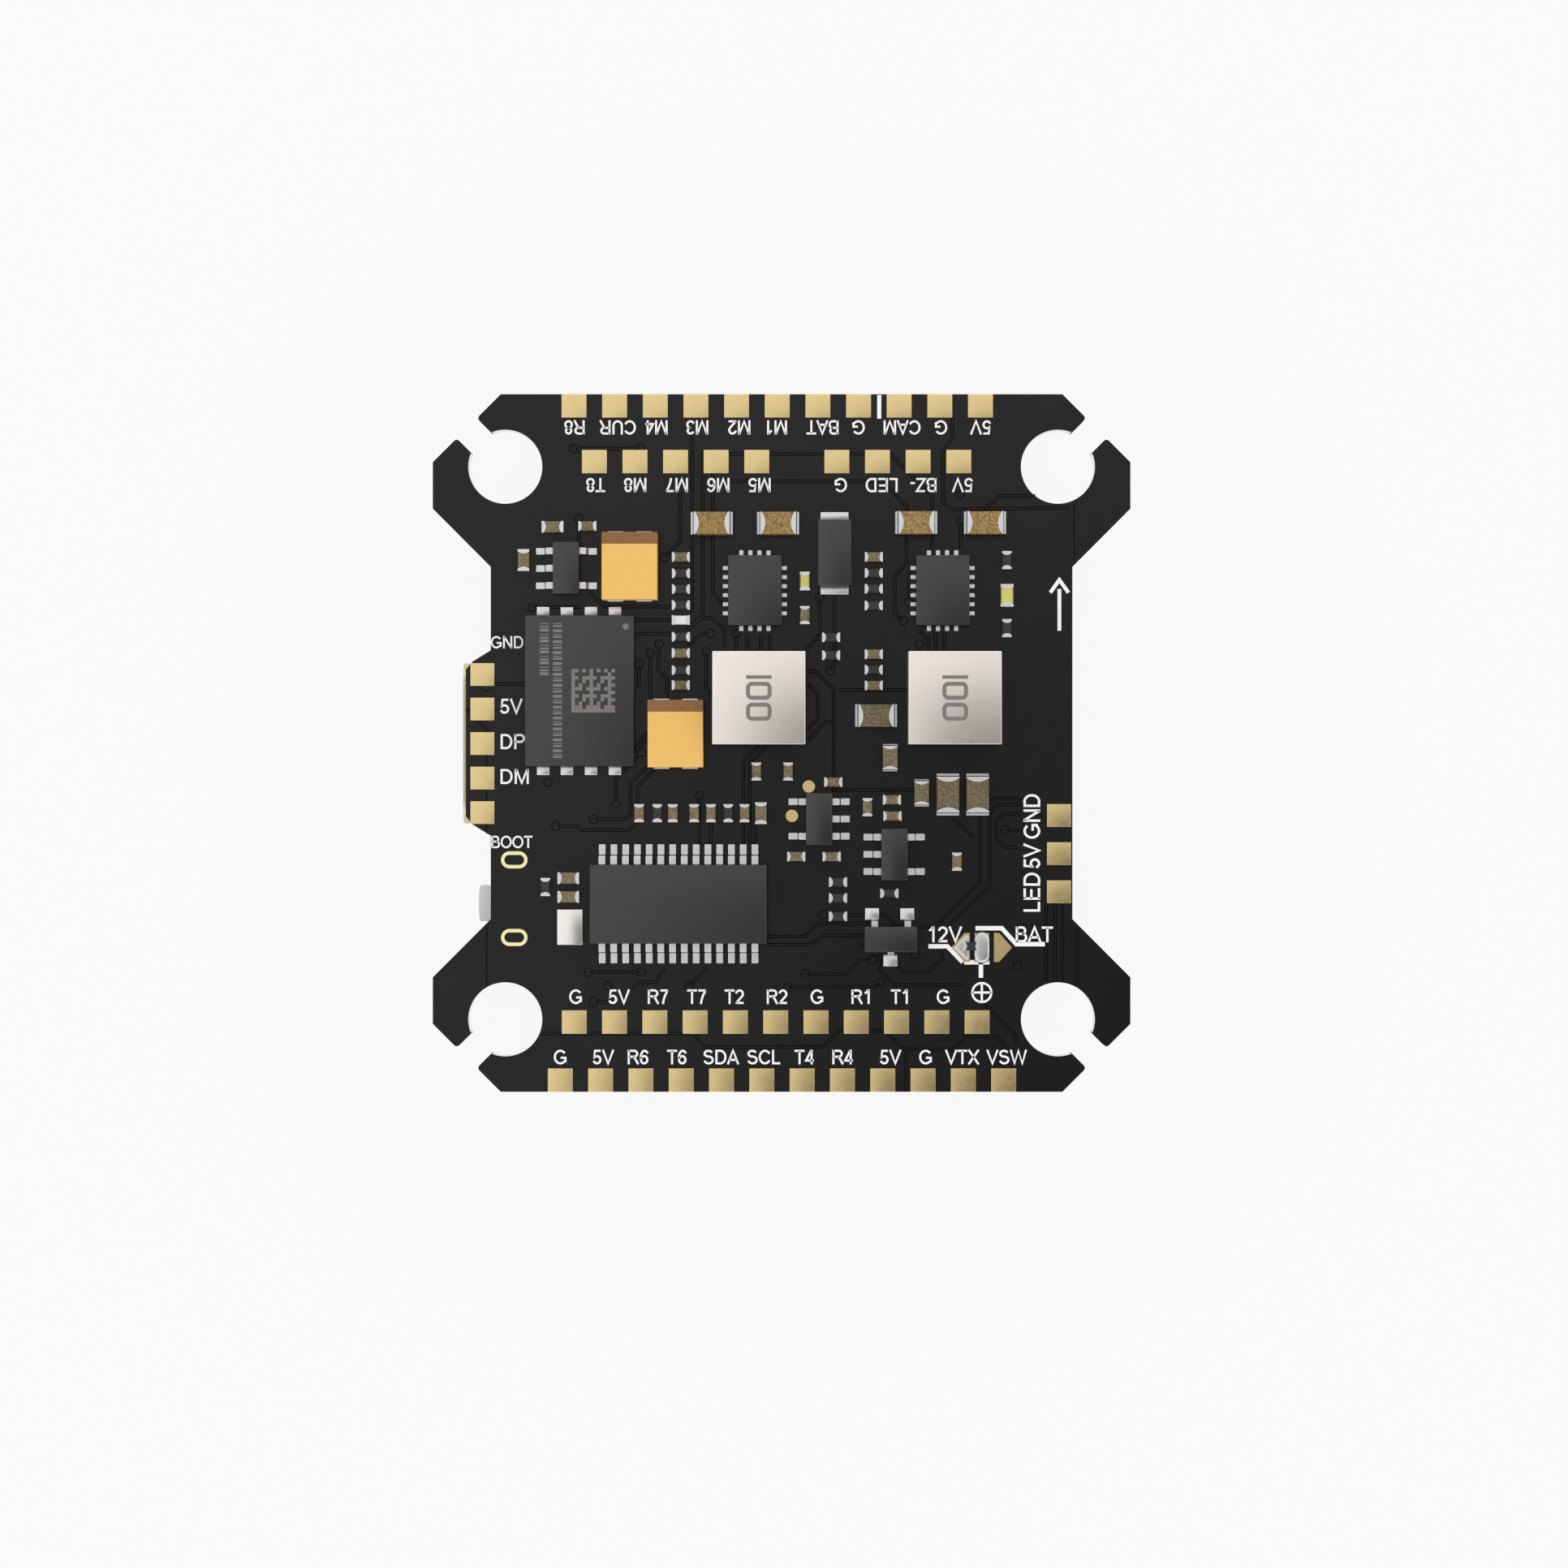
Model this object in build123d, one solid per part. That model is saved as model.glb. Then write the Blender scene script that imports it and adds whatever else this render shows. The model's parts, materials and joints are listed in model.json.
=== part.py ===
from build123d import *
import os

# Flight controller board for a small racing drone, in millimetres.
# The origin is the centre of the four mounting holes, on the underside of the bare board.
# +Z points out of the labelled top side, +X to the right and +Y up as its labels are read.

# ---- Driving dimensions -------------------------------------------------------------------
BOARD_THICKNESS = 1.6
HOLE_SPACING = 30.5          # standard mounting pattern, centre to centre
HOLE_RADIUS = 2.05           # for a rubber grommet around an M3 screw
HOLE_MOUTH_WIDTH = 1.57      # the slot that opens each hole at its corner
BOARD_HALF = 19.25           # half of the square that encloses the board
CORNER_START = 15.5          # where the corner chamfers begin
EAR_END = 12.93              # where the ears turn inwards
WAIST_HALF = 16.05           # half of the width between the ears
WAIST_CORNER = 9.72          # where the ears meet the waist
PRONG_ROUND = 0.2            # rounding of the prongs beside each mouth

PAD_THICKNESS = 0.05
PAD_WIDTH = 1.37
PAD_DEPTH = 1.29
SIDE_PAD_WIDTH = 1.32
SIDE_PAD_DEPTH = 1.25

STANDOFF = 0.05              # gap between the board and a component's moulded body

USB_FRONT = -17.7            # mouth of the socket, just past the board's tab
USB_WIDTH = 8.94
USB_HEIGHT = 3.16
USB_LENGTH = 7.35
USB_WALL = 0.3

BUTTON_Y = -8.9              # centre of the side push switch's plunger
BUTTON_TRAVEL = 0.25
BUTTON_CLEARANCE = 0.05

SOCKET_DEPTH = 4.25          # 1 mm pitch wire-to-board sockets
SOCKET_HEIGHT = 2.95
SOCKET_PITCH = 1.0
SOCKET_END_MARGIN = 1.5      # from the last contact to the housing's end
SOCKET_MOUTH = 19.1          # how far the mouths stand from the centre

# Chip sizes: length, width, height
CHIP_0805 = (2.31, 1.26, 1.25)
CHIP_0603 = (1.5, 0.83, 0.8)
CHIP_0402_THICK = (1.2, 0.65, 0.6)
CHIP_0402 = (1.0, 0.54, 0.5)
RESISTOR_0402 = (1.0, 0.53, 0.35)
JUMPER_RESISTOR = (0.84, 0.5, 0.35)
LED_0402 = (1.03, 0.57, 0.45)
LED_0603 = (1.25, 0.72, 0.5)

# ---- Where the parts sit: x, y and turn in degrees, on the top side ------------------------
# A chip lies along X at turn 0 and along Y at turn 90.
ROW_Y = -3.87                # the row of chips above the display chip
LEFT_COLUMN = -5.55          # the two columns of chips beside the converters
RIGHT_COLUMN = 5.08

LARGE_CAPACITORS = [
    (-3.84, 12.08, 0),
    (-0.19, 12.08, 0),
    (7.41, 12.11, 0),
    (11.19, 12.11, 0),
    (5.20, 1.50, 0),
    (9.15, -2.84, 90),
    (10.78, -2.84, 90),
]
MEDIUM_CAPACITORS = [(5.98, -0.81, 90), (7.72, -2.75, 90)]
THICK_SMALL_CAPACITORS = [
    (-12.61, 11.90, 0),
    (-11.74, -7.45, 0),
    (-11.74, -8.48, 0),
    (-14.21, 10.07, 90),
    (-1.14, ROW_Y, 90),
]
SMALL_CAPACITORS = [
    (-10.70, 11.95, 0),
    (2.85, -2.16, 0),
    (0.81, -6.26, 0),
    (2.76, -6.26, 0),
    (6.08, -3.13, 0),
    (6.11, -4.03, 0),
    (1.28, 7.04, 90),
    (-1.39, -1.57, 90),
    (0.36, -1.57, 90),
    (4.73, -3.54, 90),
    (9.66, -6.54, 90),
]
SMALL_CAPACITORS += [(x, ROW_Y, 90) for x in (-7.85, -5.99, -4.82, -3.89, -2.04)]
SMALL_CAPACITORS += [(LEFT_COLUMN, y, 0) for y in (10.25, 4.95, 3.18)]
SMALL_CAPACITORS += [(RIGHT_COLUMN, y, 0) for y in (10.25, 4.89, 3.16)]
RESISTORS = [
    (2.73, 5.82, 0),
    (2.73, 4.83, 0),
    (3.11, -7.67, 0),
    (3.11, -8.55, 0),
    (3.11, -9.56, 0),
    (5.94, -8.29, 0),
    (12.42, 10.08, 90),
    (12.42, 6.33, 90),
    (-13.02, -7.94, 90),
]
RESISTORS += [(x, ROW_Y, 90) for x in (-6.85, -2.94)]
RESISTORS += [(LEFT_COLUMN, y, 0) for y in (9.35, 8.48, 7.60, 5.85, 4.01)]
RESISTORS += [(RIGHT_COLUMN, y, 0) for y in (9.37, 8.50, 7.57, 4.04)]
FUSE_PLACE = (LEFT_COLUMN, 6.77, 0)
SMALL_LED_PLACE = (1.28, 8.92, 90)
LARGE_LED_PLACE = (12.42, 8.13, 90)

FLASH_PLACE = (-11.12, 2.87)
DISPLAY_CHIP_PLACE = (-5.68, -8.87)
CONVERTER_PLACES = [(-1.47, 8.40), (8.88, 8.40)]
INDUCTOR_PLACES = [(-1.24, 2.45), (9.47, 2.45)]
TANTALUM_PLACES = [(-8.34, 9.70), (-5.82, 0.50)]
DIODE_PLACE = (2.92, 10.46)
TOP_CRYSTAL_PLACE = (-11.66, -10.15)
TRANSISTOR_PLACE = (6.01, -10.81)
# Each small regulator has three leads on one side: x, y and the side they are on
REGULATOR_PLACES = [(-11.86, 9.62, -1), (2.07, -4.19, 1), (6.21, -6.14, -1)]
TEST_PAD_PLACES = [(1.50, -2.40), (0.57, -4.02)]

# ---- Where the parts sit on the underside --------------------------------------------------
MCU_PLACE = (0.5, 0.3)
MCU_CRYSTAL_PLACE = (-8.3, -7.4, 90)
GYRO_PLACE = (10.2, 6.0)
BAROMETER_PLACE = (10.6, -6.4)
UNDERSIDE_REGULATOR_PLACE = (-10.2, 9.9)
UNDERSIDE_MEDIUM_CAPACITORS = [(-7.2, 9.9, 90), (-13.2, 9.9, 90)]
UNDERSIDE_SMALL_CAPACITORS = [(-7.4, y, 90) for y in (2.6, 0.6)]
UNDERSIDE_SMALL_CAPACITORS += [(8.4, y, 90) for y in (2.0, 0.2, -1.6)]
UNDERSIDE_SMALL_CAPACITORS += [(x, 8.3, 0) for x in (-2.8, -0.6, 3.8)]
UNDERSIDE_SMALL_CAPACITORS += [(x, -7.7, 0) for x in (-2.8, 1.6, 3.8)]
UNDERSIDE_SMALL_CAPACITORS += [(10.2, 8.6, 0), (10.6, -8.9, 0), (-8.3, -9.9, 0)]
UNDERSIDE_RESISTORS = [(-7.4, -1.4, 90), (-7.4, 4.6, 90), (1.6, 8.3, 0), (-0.6, -7.7, 0)]
UNDERSIDE_RESISTORS += [(12.9, y, 90) for y in (6.9, 5.1, -5.5, -7.3)]


# ---- Helpers --------------------------------------------------------------------------------
def block(length, width, height, x=0.0, y=0.0, z=0.0):
    """A box that is centred on x and y and stands on z."""
    return Pos(x, y, z + height / 2) * Box(length, width, height)


def span(x_range, y_range, z_range):
    """A box between two values along each axis."""
    (x0, x1), (y0, y1), (z0, z1) = x_range, y_range, z_range
    return Pos((x0 + x1) / 2, (y0 + y1) / 2, (z0 + z1) / 2) * Box(x1 - x0, y1 - y0, z1 - z0)


def on_top(shape, x, y, turn=0.0):
    """Stand a shape on the board's top side."""
    return Pos(x, y, BOARD_THICKNESS) * Rot(0, 0, turn) * shape


def on_underside(shape, x, y, turn=0.0):
    """Hang a shape upside down from the board's underside."""
    return Pos(x, y, 0) * Rot(180, 0, 0) * Rot(0, 0, turn) * shape


def save(name, shapes):
    """Write one sub-part, as a group of separate solids where it has several."""
    solids = [solid for shape in shapes for solid in shape.solids()]
    export_step(solids[0] if len(solids) == 1 else Compound(children=solids), f"parts/{name}.step")


def moulded_body(length, width, height, edge=0.08):
    """A chip package's body, standing just clear of the board, with its upper edges eased."""
    body = block(length, width, height - STANDOFF, z=STANDOFF)
    return chamfer(body.faces().sort_by(Axis.Z)[-1].edges(), edge)


def side_profile(points, width):
    """A strip of the given width along Y, cut to an outline in the XZ plane."""
    outline = make_face(Plane.XZ * Polyline(*points, close=True))
    return extrude(outline, amount=width / 2, both=True)


def gull_wing(reach, width, shoulder_height, shoulder, thickness=0.15):
    """A bent lead that leaves the body at x = 0, drops to the board and ends in a foot."""
    drop = 0.1
    top = shoulder_height
    points = [
        (0, top),
        (shoulder, top),
        (shoulder + drop, thickness),
        (reach, thickness),
        (reach, 0),
        (shoulder - thickness + drop, 0),
        (shoulder - thickness, top - thickness),
        (0, top - thickness),
    ]
    return side_profile(points, width)


# ---- Board and its plated pads ---------------------------------------------------------------
SLOT_X = -14.75              # the two slots for the switch's legs
SLOT_YS = (-6.45, -10.73)
SLOT_LENGTH = 1.1
SLOT_WIDTH = 0.56
PLATING = 0.04
RING_LENGTH = 1.46
RING_WIDTH = 0.94


def board():
    """The bare board: four eared corners, each with a hole that opens along its diagonal."""
    half, corner, ear = BOARD_HALF, CORNER_START, EAR_END
    waist, waist_corner = WAIST_HALF, WAIST_CORNER
    corner_points = [(corner, half), (half, corner), (half, ear), (waist, waist_corner)]
    usb_tab = [(waist, 5.12), (17.05, 4.5), (17.43, 4.05)]
    right = corner_points + [(x, -y) for x, y in reversed(corner_points)]
    left_lower = [(-x, -y) for x, y in corner_points + usb_tab]
    left_upper = [(x, -y) for x, y in reversed(left_lower)]
    outline = make_face(Polyline(*right, *left_lower, *left_upper, close=True))
    plate = extrude(outline, amount=BOARD_THICKNESS)

    offset = HOLE_SPACING / 2
    mouth_reach = 6.0
    mouth_line = (corner + half) / 2
    side_step = HOLE_MOUTH_WIDTH / 2 / 2 ** 0.5
    for sx in (-1, 1):
        for sy in (-1, 1):
            plate -= Pos(sx * offset, sy * offset, BOARD_THICKNESS / 2) * Cylinder(HOLE_RADIUS, 4)
            mouth = Pos(mouth_reach / 2, 0, 0) * Box(mouth_reach, HOLE_MOUTH_WIDTH, 4)
            angle = 45 * sy if sx > 0 else 180 - 45 * sy
            plate -= Pos(sx * offset, sy * offset, BOARD_THICKNESS / 2) * Rot(0, 0, angle) * mouth
    tips = [
        (sx * (mouth_line + side * side_step), sy * (mouth_line - side * side_step))
        for sx in (-1, 1)
        for sy in (-1, 1)
        for side in (-1, 1)
    ]
    upright = plate.edges().filter_by(Axis.Z)
    near_tips = [
        edge
        for edge in upright
        if any(abs(edge.center().X - x) < 0.02 and abs(edge.center().Y - y) < 0.02 for x, y in tips)
    ]
    plate = fillet(near_tips, PRONG_ROUND)
    for slot in switch_slots(SLOT_LENGTH + 2 * PLATING, SLOT_WIDTH + 2 * PLATING, 4, -1):
        plate -= slot
    return plate


def switch_slots(length, width, height, z):
    """Two rounded slots for the switch's legs, as upright solids."""
    slot = extrude(SlotOverall(length, width), amount=height)
    return [Pos(SLOT_X, y, z) * slot for y in SLOT_YS]


def switch_slot_rings():
    """The plated sleeve of each slot, with a flange on both faces of the board."""
    flange = switch_slots(RING_LENGTH, RING_WIDTH, PLATING, BOARD_THICKNESS)
    lower_flange = switch_slots(RING_LENGTH, RING_WIDTH, PLATING, -PLATING)
    sleeve = switch_slots(SLOT_LENGTH + 2 * PLATING, SLOT_WIDTH + 2 * PLATING, BOARD_THICKNESS, 0)
    hollow = switch_slots(SLOT_LENGTH, SLOT_WIDTH, 4, -1)
    return [a + b + c - d for a, b, c, d in zip(flange, sleeve, lower_flange, hollow)]


def evenly(first, pitch, count):
    """Places at an even pitch."""
    return [first + pitch * number for number in range(count)]


def pad_row(xs, y):
    """Solder pads in a row along X."""
    return [on_top(block(PAD_WIDTH, PAD_DEPTH, PAD_THICKNESS), x, y) for x in xs]


def pad_column(x, ys):
    """Solder pads in a column along Y."""
    return [on_top(block(SIDE_PAD_WIDTH, SIDE_PAD_DEPTH, PAD_THICKNESS), x, y) for y in ys]


JUMPER_MIDDLE = (11.05, -11.28)
JUMPER_HALF_HEIGHT = 0.8
JUMPER_RESISTOR_PLACE = (10.45, -11.2)


def pointed_outline(side, near, shoulder, tip, half_height):
    """A five-cornered face that points away from the jumper's middle, left (-1) or right (+1)."""
    x0, y0 = JUMPER_MIDDLE
    points = [(near, -1), (shoulder, -1), (tip, 0), (shoulder, 1), (near, 1)]
    return make_face(Polyline(*[(x0 + side * x, y0 + half_height * y) for x, y in points], close=True))


def jumper_pads():
    """Three pads of the solder jumper: two pointed ones and a plain one between them."""
    pads = [block(0.8, 2 * JUMPER_HALF_HEIGHT, PAD_THICKNESS, *JUMPER_MIDDLE, BOARD_THICKNESS)]
    for side in (-1, 1):
        face = pointed_outline(side, 0.67, 0.95, 1.67, JUMPER_HALF_HEIGHT)
        pads.append(Pos(0, 0, BOARD_THICKNESS) * extrude(face, amount=PAD_THICKNESS, dir=(0, 0, 1)))
    return pads


def jumper_solder():
    """The two mounds of solder on the jumper's left and middle pads, clear of its resistor."""
    base = BOARD_THICKNESS + PAD_THICKNESS
    middle = extrude(RectangleRounded(0.86, 1.74, 0.4), amount=0.3)
    middle = fillet(middle.faces().sort_by(Axis.Z)[-1].edges(), 0.25)
    middle = Pos(*JUMPER_MIDDLE, base) * middle
    left = extrude(pointed_outline(-1, 0.72, 0.86, 1.6, 0.7), amount=0.2, dir=(0, 0, 1))
    left = Pos(0, 0, base) * chamfer(left.faces().sort_by(Axis.Z)[-1].edges(), 0.06)
    resistor_space = block(0.84, 0.52, 1, *JUMPER_RESISTOR_PLACE, BOARD_THICKNESS)
    return [middle - resistor_space, left - resistor_space]


# ---- Two-terminal chips ----------------------------------------------------------------------
def chip_terminal_outline(length, width, strip, bulge):
    """One end of a chip seen from above: a straight strip with a rounded inner edge."""
    end = length / 2
    inner = end - strip
    corners = Polyline((inner, -width / 2), (end, -width / 2), (end, width / 2), (inner, width / 2))
    middle = (inner - bulge, 0)
    return make_face(corners + ThreePointArc((inner, width / 2), middle, (inner, -width / 2)))


def chip(size, strip_share=0.1, bulge_share=0.12):
    """A chip's ceramic body and its two plated ends, along X and standing on z = 0."""
    length, width, height = size
    outline = chip_terminal_outline(length, width, length * strip_share, length * bulge_share)
    right_end = extrude(outline, amount=height, dir=(0, 0, 1))
    ends = [right_end, mirror(right_end, about=Plane.YZ)]
    skin = 0.02
    body = block(length - 2 * skin, width - 2 * skin, height - 2 * skin, z=skin)
    body = body - ends[0] - ends[1]
    return body, ends


def place_chips(size, places, put, **shape):
    """Bodies and ends of chips of one size, put on one side of the board."""
    body, ends = chip(size, **shape)
    bodies = [put(body, *place) for place in places]
    terminals = [put(end, *place) for place in places for end in ends]
    return bodies, terminals


# ---- Chip packages ---------------------------------------------------------------------------
FLASH_SIZE = (5.98, 8.28, 0.8)
FLASH_PAD_XS = (-2.03, -0.72, 0.61, 1.93)


def flash_memory():
    """A leadless memory chip with four wide terminals at each short side."""
    length, width, height = FLASH_SIZE
    body = on_top(moulded_body(length, width, height), *FLASH_PLACE)
    terminals = []
    for x in FLASH_PAD_XS:
        for side in (-1, 1):
            pad = block(0.69, 0.5, 0.22, x, side * (width / 2 + 0.25))
            outer_top = pad.faces().sort_by(Axis.Z)[-1].edges().sort_by(Axis.Y)
            pad = chamfer(outer_top[0] if side < 0 else outer_top[-1], 0.12)
            terminals.append(on_top(pad, *FLASH_PLACE))
    return [body], terminals


def display_chip():
    """The on-screen display chip: a flat body with fourteen bent leads on each long side."""
    pitch, count, width = 0.648, 14, 4.32
    body = on_top(moulded_body(9.72, width, 1.05), *DISPLAY_CHIP_PLACE)
    lead = Rot(0, 0, 90) * gull_wing(1.12, 0.37, 0.6, 0.46)
    leads = []
    for number in range(count):
        x = (number - (count - 1) / 2) * pitch
        leads.append(on_top(Pos(x, width / 2, 0) * lead, *DISPLAY_CHIP_PLACE))
        leads.append(on_top(Rot(0, 0, 180) * Pos(x, width / 2, 0) * lead, *DISPLAY_CHIP_PLACE))
    return [body], leads


def converters():
    """Two leadless step-down converter chips, with soldered terminals on all four sides."""
    length, width, height = 2.93, 3.86, 0.85
    side_terminal = block(0.3, 0.22, 0.12, length / 2 + 0.15)
    end_terminal = block(0.23, 0.3, 0.12, 0, width / 2 + 0.15)
    bodies, terminals = [], []
    for place in CONVERTER_PLACES:
        bodies.append(on_top(moulded_body(length, width, height), *place))
        for turn in (0, 180):
            for number in range(6):
                y = (number - 2.5) * 0.5
                terminals.append(on_top(Rot(0, 0, turn) * Pos(0, y, 0) * side_terminal, *place))
            for number in range(4):
                x = (number - 1.5) * 0.5
                terminals.append(on_top(Rot(0, 0, turn) * Pos(x, 0, 0) * end_terminal, *place))
    return bodies, terminals


def inductors():
    """Two moulded power inductors on flat copper terminals."""
    side, height, terminal = 5.08, 3.0, 0.12
    foot_width, foot_length, inset = 1.3, 3.6, 0.01
    body = block(side, side, height - terminal, z=terminal)
    body = chamfer(body.faces().sort_by(Axis.Z)[-1].edges(), 0.1)
    foot_x = (side - foot_width) / 2 - inset
    feet = [block(foot_width, foot_length, terminal, x) for x in (-foot_x, foot_x)]
    bodies = [on_top(body, *place) for place in INDUCTOR_PLACES]
    return bodies, [on_top(foot, *place) for place in INDUCTOR_PLACES for foot in feet]


def tantalum_capacitors():
    """Two moulded tantalum capacitors, each with a forked strip folded under both ends."""
    width, length, height = 3.03, 3.69, 1.9
    strip, fork_height, fork_width, fork_gap = 0.08, 0.95, 0.86, 0.72
    foot_length = 0.9
    body = block(width, length, height - strip, z=strip)
    body = chamfer(body.faces().sort_by(Axis.Z)[-1].edges(), 0.08)
    foot = block(2 * fork_width + fork_gap, foot_length, strip, 0, (length - foot_length) / 2)
    prong_step = (fork_width + fork_gap) / 2
    prongs = [
        block(fork_width, strip, fork_height, x, length / 2 + strip / 2)
        for x in (-prong_step, prong_step)
    ]
    terminal = foot + prongs[0] + prongs[1]
    terminals = [terminal, Rot(0, 0, 180) * terminal]
    bodies = [on_top(body, *place) for place in TANTALUM_PLACES]
    return bodies, [on_top(end, *place) for place in TANTALUM_PLACES for end in terminals]


def regulator():
    """A five-lead package along Y: three leads on its +X side and two on its -X side."""
    width, length, height = 1.43, 2.83, 1.1
    lead = gull_wing(0.97, 0.37, 0.62, 0.38)
    three = [Pos(width / 2, y, 0) * lead for y in (-0.95, 0, 0.95)]
    two = [Rot(0, 0, 180) * Pos(width / 2, y, 0) * lead for y in (-0.95, 0.95)]
    return moulded_body(width, length, height), three + two


def regulators():
    """Three small regulators on the top side and one on the underside."""
    body, leads = regulator()
    bodies, all_leads = [], []
    for x, y, side in REGULATOR_PLACES:
        turn = 0 if side > 0 else 180
        bodies.append(on_top(body, x, y, turn))
        all_leads += [on_top(lead, x, y, turn) for lead in leads]
    bodies.append(on_underside(body, *UNDERSIDE_REGULATOR_PLACE))
    all_leads += [on_underside(lead, *UNDERSIDE_REGULATOR_PLACE) for lead in leads]
    return bodies, all_leads


def transistor():
    """The switching transistor: one lead below and two above, each soldered to a wide pad."""
    length, width, height = 2.87, 1.39, 1.1
    neck_width, pad_length, pad_width = 0.4, 0.66, 0.8

    def lead(x, side, neck, shift):
        outer = width / 2 + neck
        foot = block(pad_width, pad_length, 0.16, x + shift, side * (outer + pad_length / 2))
        x_range = (x - neck_width / 2, x + neck_width / 2)
        shoulder = span(x_range, sorted((side * width / 2, side * (outer + 0.12))), (0.45, 0.6))
        drop = span(x_range, sorted((side * (outer - 0.03), side * (outer + 0.12))), (0, 0.6))
        return foot + shoulder + drop

    body = on_top(moulded_body(length, width, height), *TRANSISTOR_PLACE)
    leads = [lead(-0.88, 1, 0.36, -0.14), lead(0.94, 1, 0.36, -0.02), lead(0.01, -1, 0.17, -0.02)]
    return [body], [on_top(item, *TRANSISTOR_PLACE) for item in leads]


def diode():
    """A flat rectifier with a wide terminal at each end."""
    width, length, height = 1.82, 3.62, 1.1
    terminal = block(1.54, 0.46, 0.22, 0, length / 2 + 0.23)
    body = on_top(moulded_body(width, length, height), *DIODE_PLACE)
    return [body], [on_top(Rot(0, 0, turn) * terminal, *DIODE_PLACE) for turn in (0, 180)]


def crystal(length, width, height):
    """A crystal in a metal can with a thin seam flange."""
    flange = block(length, width, 0.3 * height)
    can = block(length - 0.1, width - 0.1, 0.7 * height, z=0.3 * height)
    can = fillet(can.edges().filter_by(Axis.Z), 0.12)
    can = fillet(can.faces().sort_by(Axis.Z)[-1].edges(), 0.06)
    return flange + can


def microcontroller():
    """The main processor on the underside, with sixteen bent leads on each side."""
    side, pitch, per_side = 10.0, 0.5, 16
    body = moulded_body(side, side, 1.4, 0.12)
    lead = Pos(side / 2, 0, 0) * gull_wing(1.0, 0.22, 0.75, 0.4, 0.13)
    leads = []
    for turn in (0, 90, 180, 270):
        for number in range(per_side):
            shift = (number - (per_side - 1) / 2) * pitch
            leads.append(on_underside(Rot(0, 0, turn) * Pos(0, shift, 0) * lead, *MCU_PLACE))
    return [on_underside(body, *MCU_PLACE)], leads


def barometer():
    """The air pressure sensor: a flat base and a vented metal lid."""
    base = block(2.0, 2.5, 0.3)
    lid = block(1.9, 2.4, 0.65, z=0.3)
    lid = fillet(lid.edges().filter_by(Axis.Z), 0.2)
    lid -= Pos(0.45, 0.7, 0.9) * Cylinder(0.15, 0.3)
    return [on_underside(base, *BAROMETER_PLACE)], [on_underside(lid, *BAROMETER_PLACE)]


# ---- USB socket ------------------------------------------------------------------------------
USB_MIDDLE_Z = -0.04 - USB_HEIGHT / 2
USB_PLUG_LENGTH = 1.25       # the plastic that closes the back of the shell
USB_BACK = USB_FRONT + USB_LENGTH


def usb_section(width, height, corner, x_range):
    """A bar along X with a rounded section, centred on the socket's axis."""
    section = Plane.YZ * RectangleRounded(width, height, corner)
    return Pos(x_range[0], 0, USB_MIDDLE_Z) * extrude(section, amount=x_range[1] - x_range[0])


def usb_shell():
    """The formed metal shell and its four soldered feet."""
    outer = usb_section(USB_WIDTH, USB_HEIGHT, 1.25, (USB_FRONT, USB_BACK))
    inner_size = (USB_WIDTH - 2 * USB_WALL, USB_HEIGHT - 2 * USB_WALL, 0.95)
    shell = outer - usb_section(*inner_size, (USB_FRONT - 1, USB_BACK + 1))
    side = USB_WIDTH / 2
    for x0 in (-15.9, -12.2):
        for sign in (-1, 1):
            strap = span((x0, x0 + 1.1), sorted((sign * (side - 0.1), sign * (side + 0.2))), (-1.7, 0))
            foot = span((x0, x0 + 1.1), sorted((sign * (side + 0.1), sign * (side + 0.6))), (-0.2, 0))
            shell += strap + foot
    return shell


def usb_tongue():
    """The plastic block that closes the shell's back, with the tongue that carries the contacts."""
    inner = (USB_WIDTH - 2 * USB_WALL, USB_HEIGHT - 2 * USB_WALL, 0.95)
    block_front = USB_BACK - USB_PLUG_LENGTH
    tongue = usb_section(6.69, 0.7, 0.2, (USB_FRONT + 0.8, block_front + 0.1))
    return usb_section(*inner, (block_front, USB_BACK)) + tongue


def usb_contacts():
    """Twelve contacts on each face of the tongue, and a row of soldered tails behind."""
    thickness, width, pitch, count = 0.05, 0.28, 0.5, 12
    front, back = USB_FRONT + 1.1, USB_BACK - USB_PLUG_LENGTH
    contacts = []
    for number in range(count):
        y = (number - (count - 1) / 2) * pitch
        y_range = (y - width / 2, y + width / 2)
        for z in (USB_MIDDLE_Z + 0.35, USB_MIDDLE_Z - 0.35 - thickness):
            contacts.append(span((front, back), y_range, (z, z + thickness)))
        contacts.append(span((USB_BACK, USB_BACK + 0.8), y_range, (-0.16, 0)))
    return contacts


# ---- Side push switch ------------------------------------------------------------------------
SWITCH_FRONT = -15.75
SWITCH_BACK = -12.75
LEG_HALF_THICKNESS = 0.1
SWITCH_FLOOR = -0.45         # the pocket's floor, nearest the board
SWITCH_RIM = -1.55           # the pocket's open rim, under the steel cover
NOSE_HALF_WIDTH = 1.0
FLANGE_HALF_WIDTH = 1.3
FLANGE_FRONT = -15.4
FLANGE_BACK = -15.0
NOSE_TIP = -16.85
NOSE_BOW_RADIUS = 8.0        # the plunger's front is slightly bowed across its width
NOSE_CORNER_RADIUS = 0.1
DOME_THICKNESS = 0.08
CONTACT_FRONT = -14.2        # the plate that the dome's rim rests on
CONTACT_THICKNESS = 0.1
DOME_CROWN = CONTACT_FRONT - BUTTON_TRAVEL - DOME_THICKNESS


def switch_box(x_range, half_width, z_range):
    """A box that is centred on the switch's own axis."""
    return span(x_range, (BUTTON_Y - half_width, BUTTON_Y + half_width), z_range)


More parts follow.
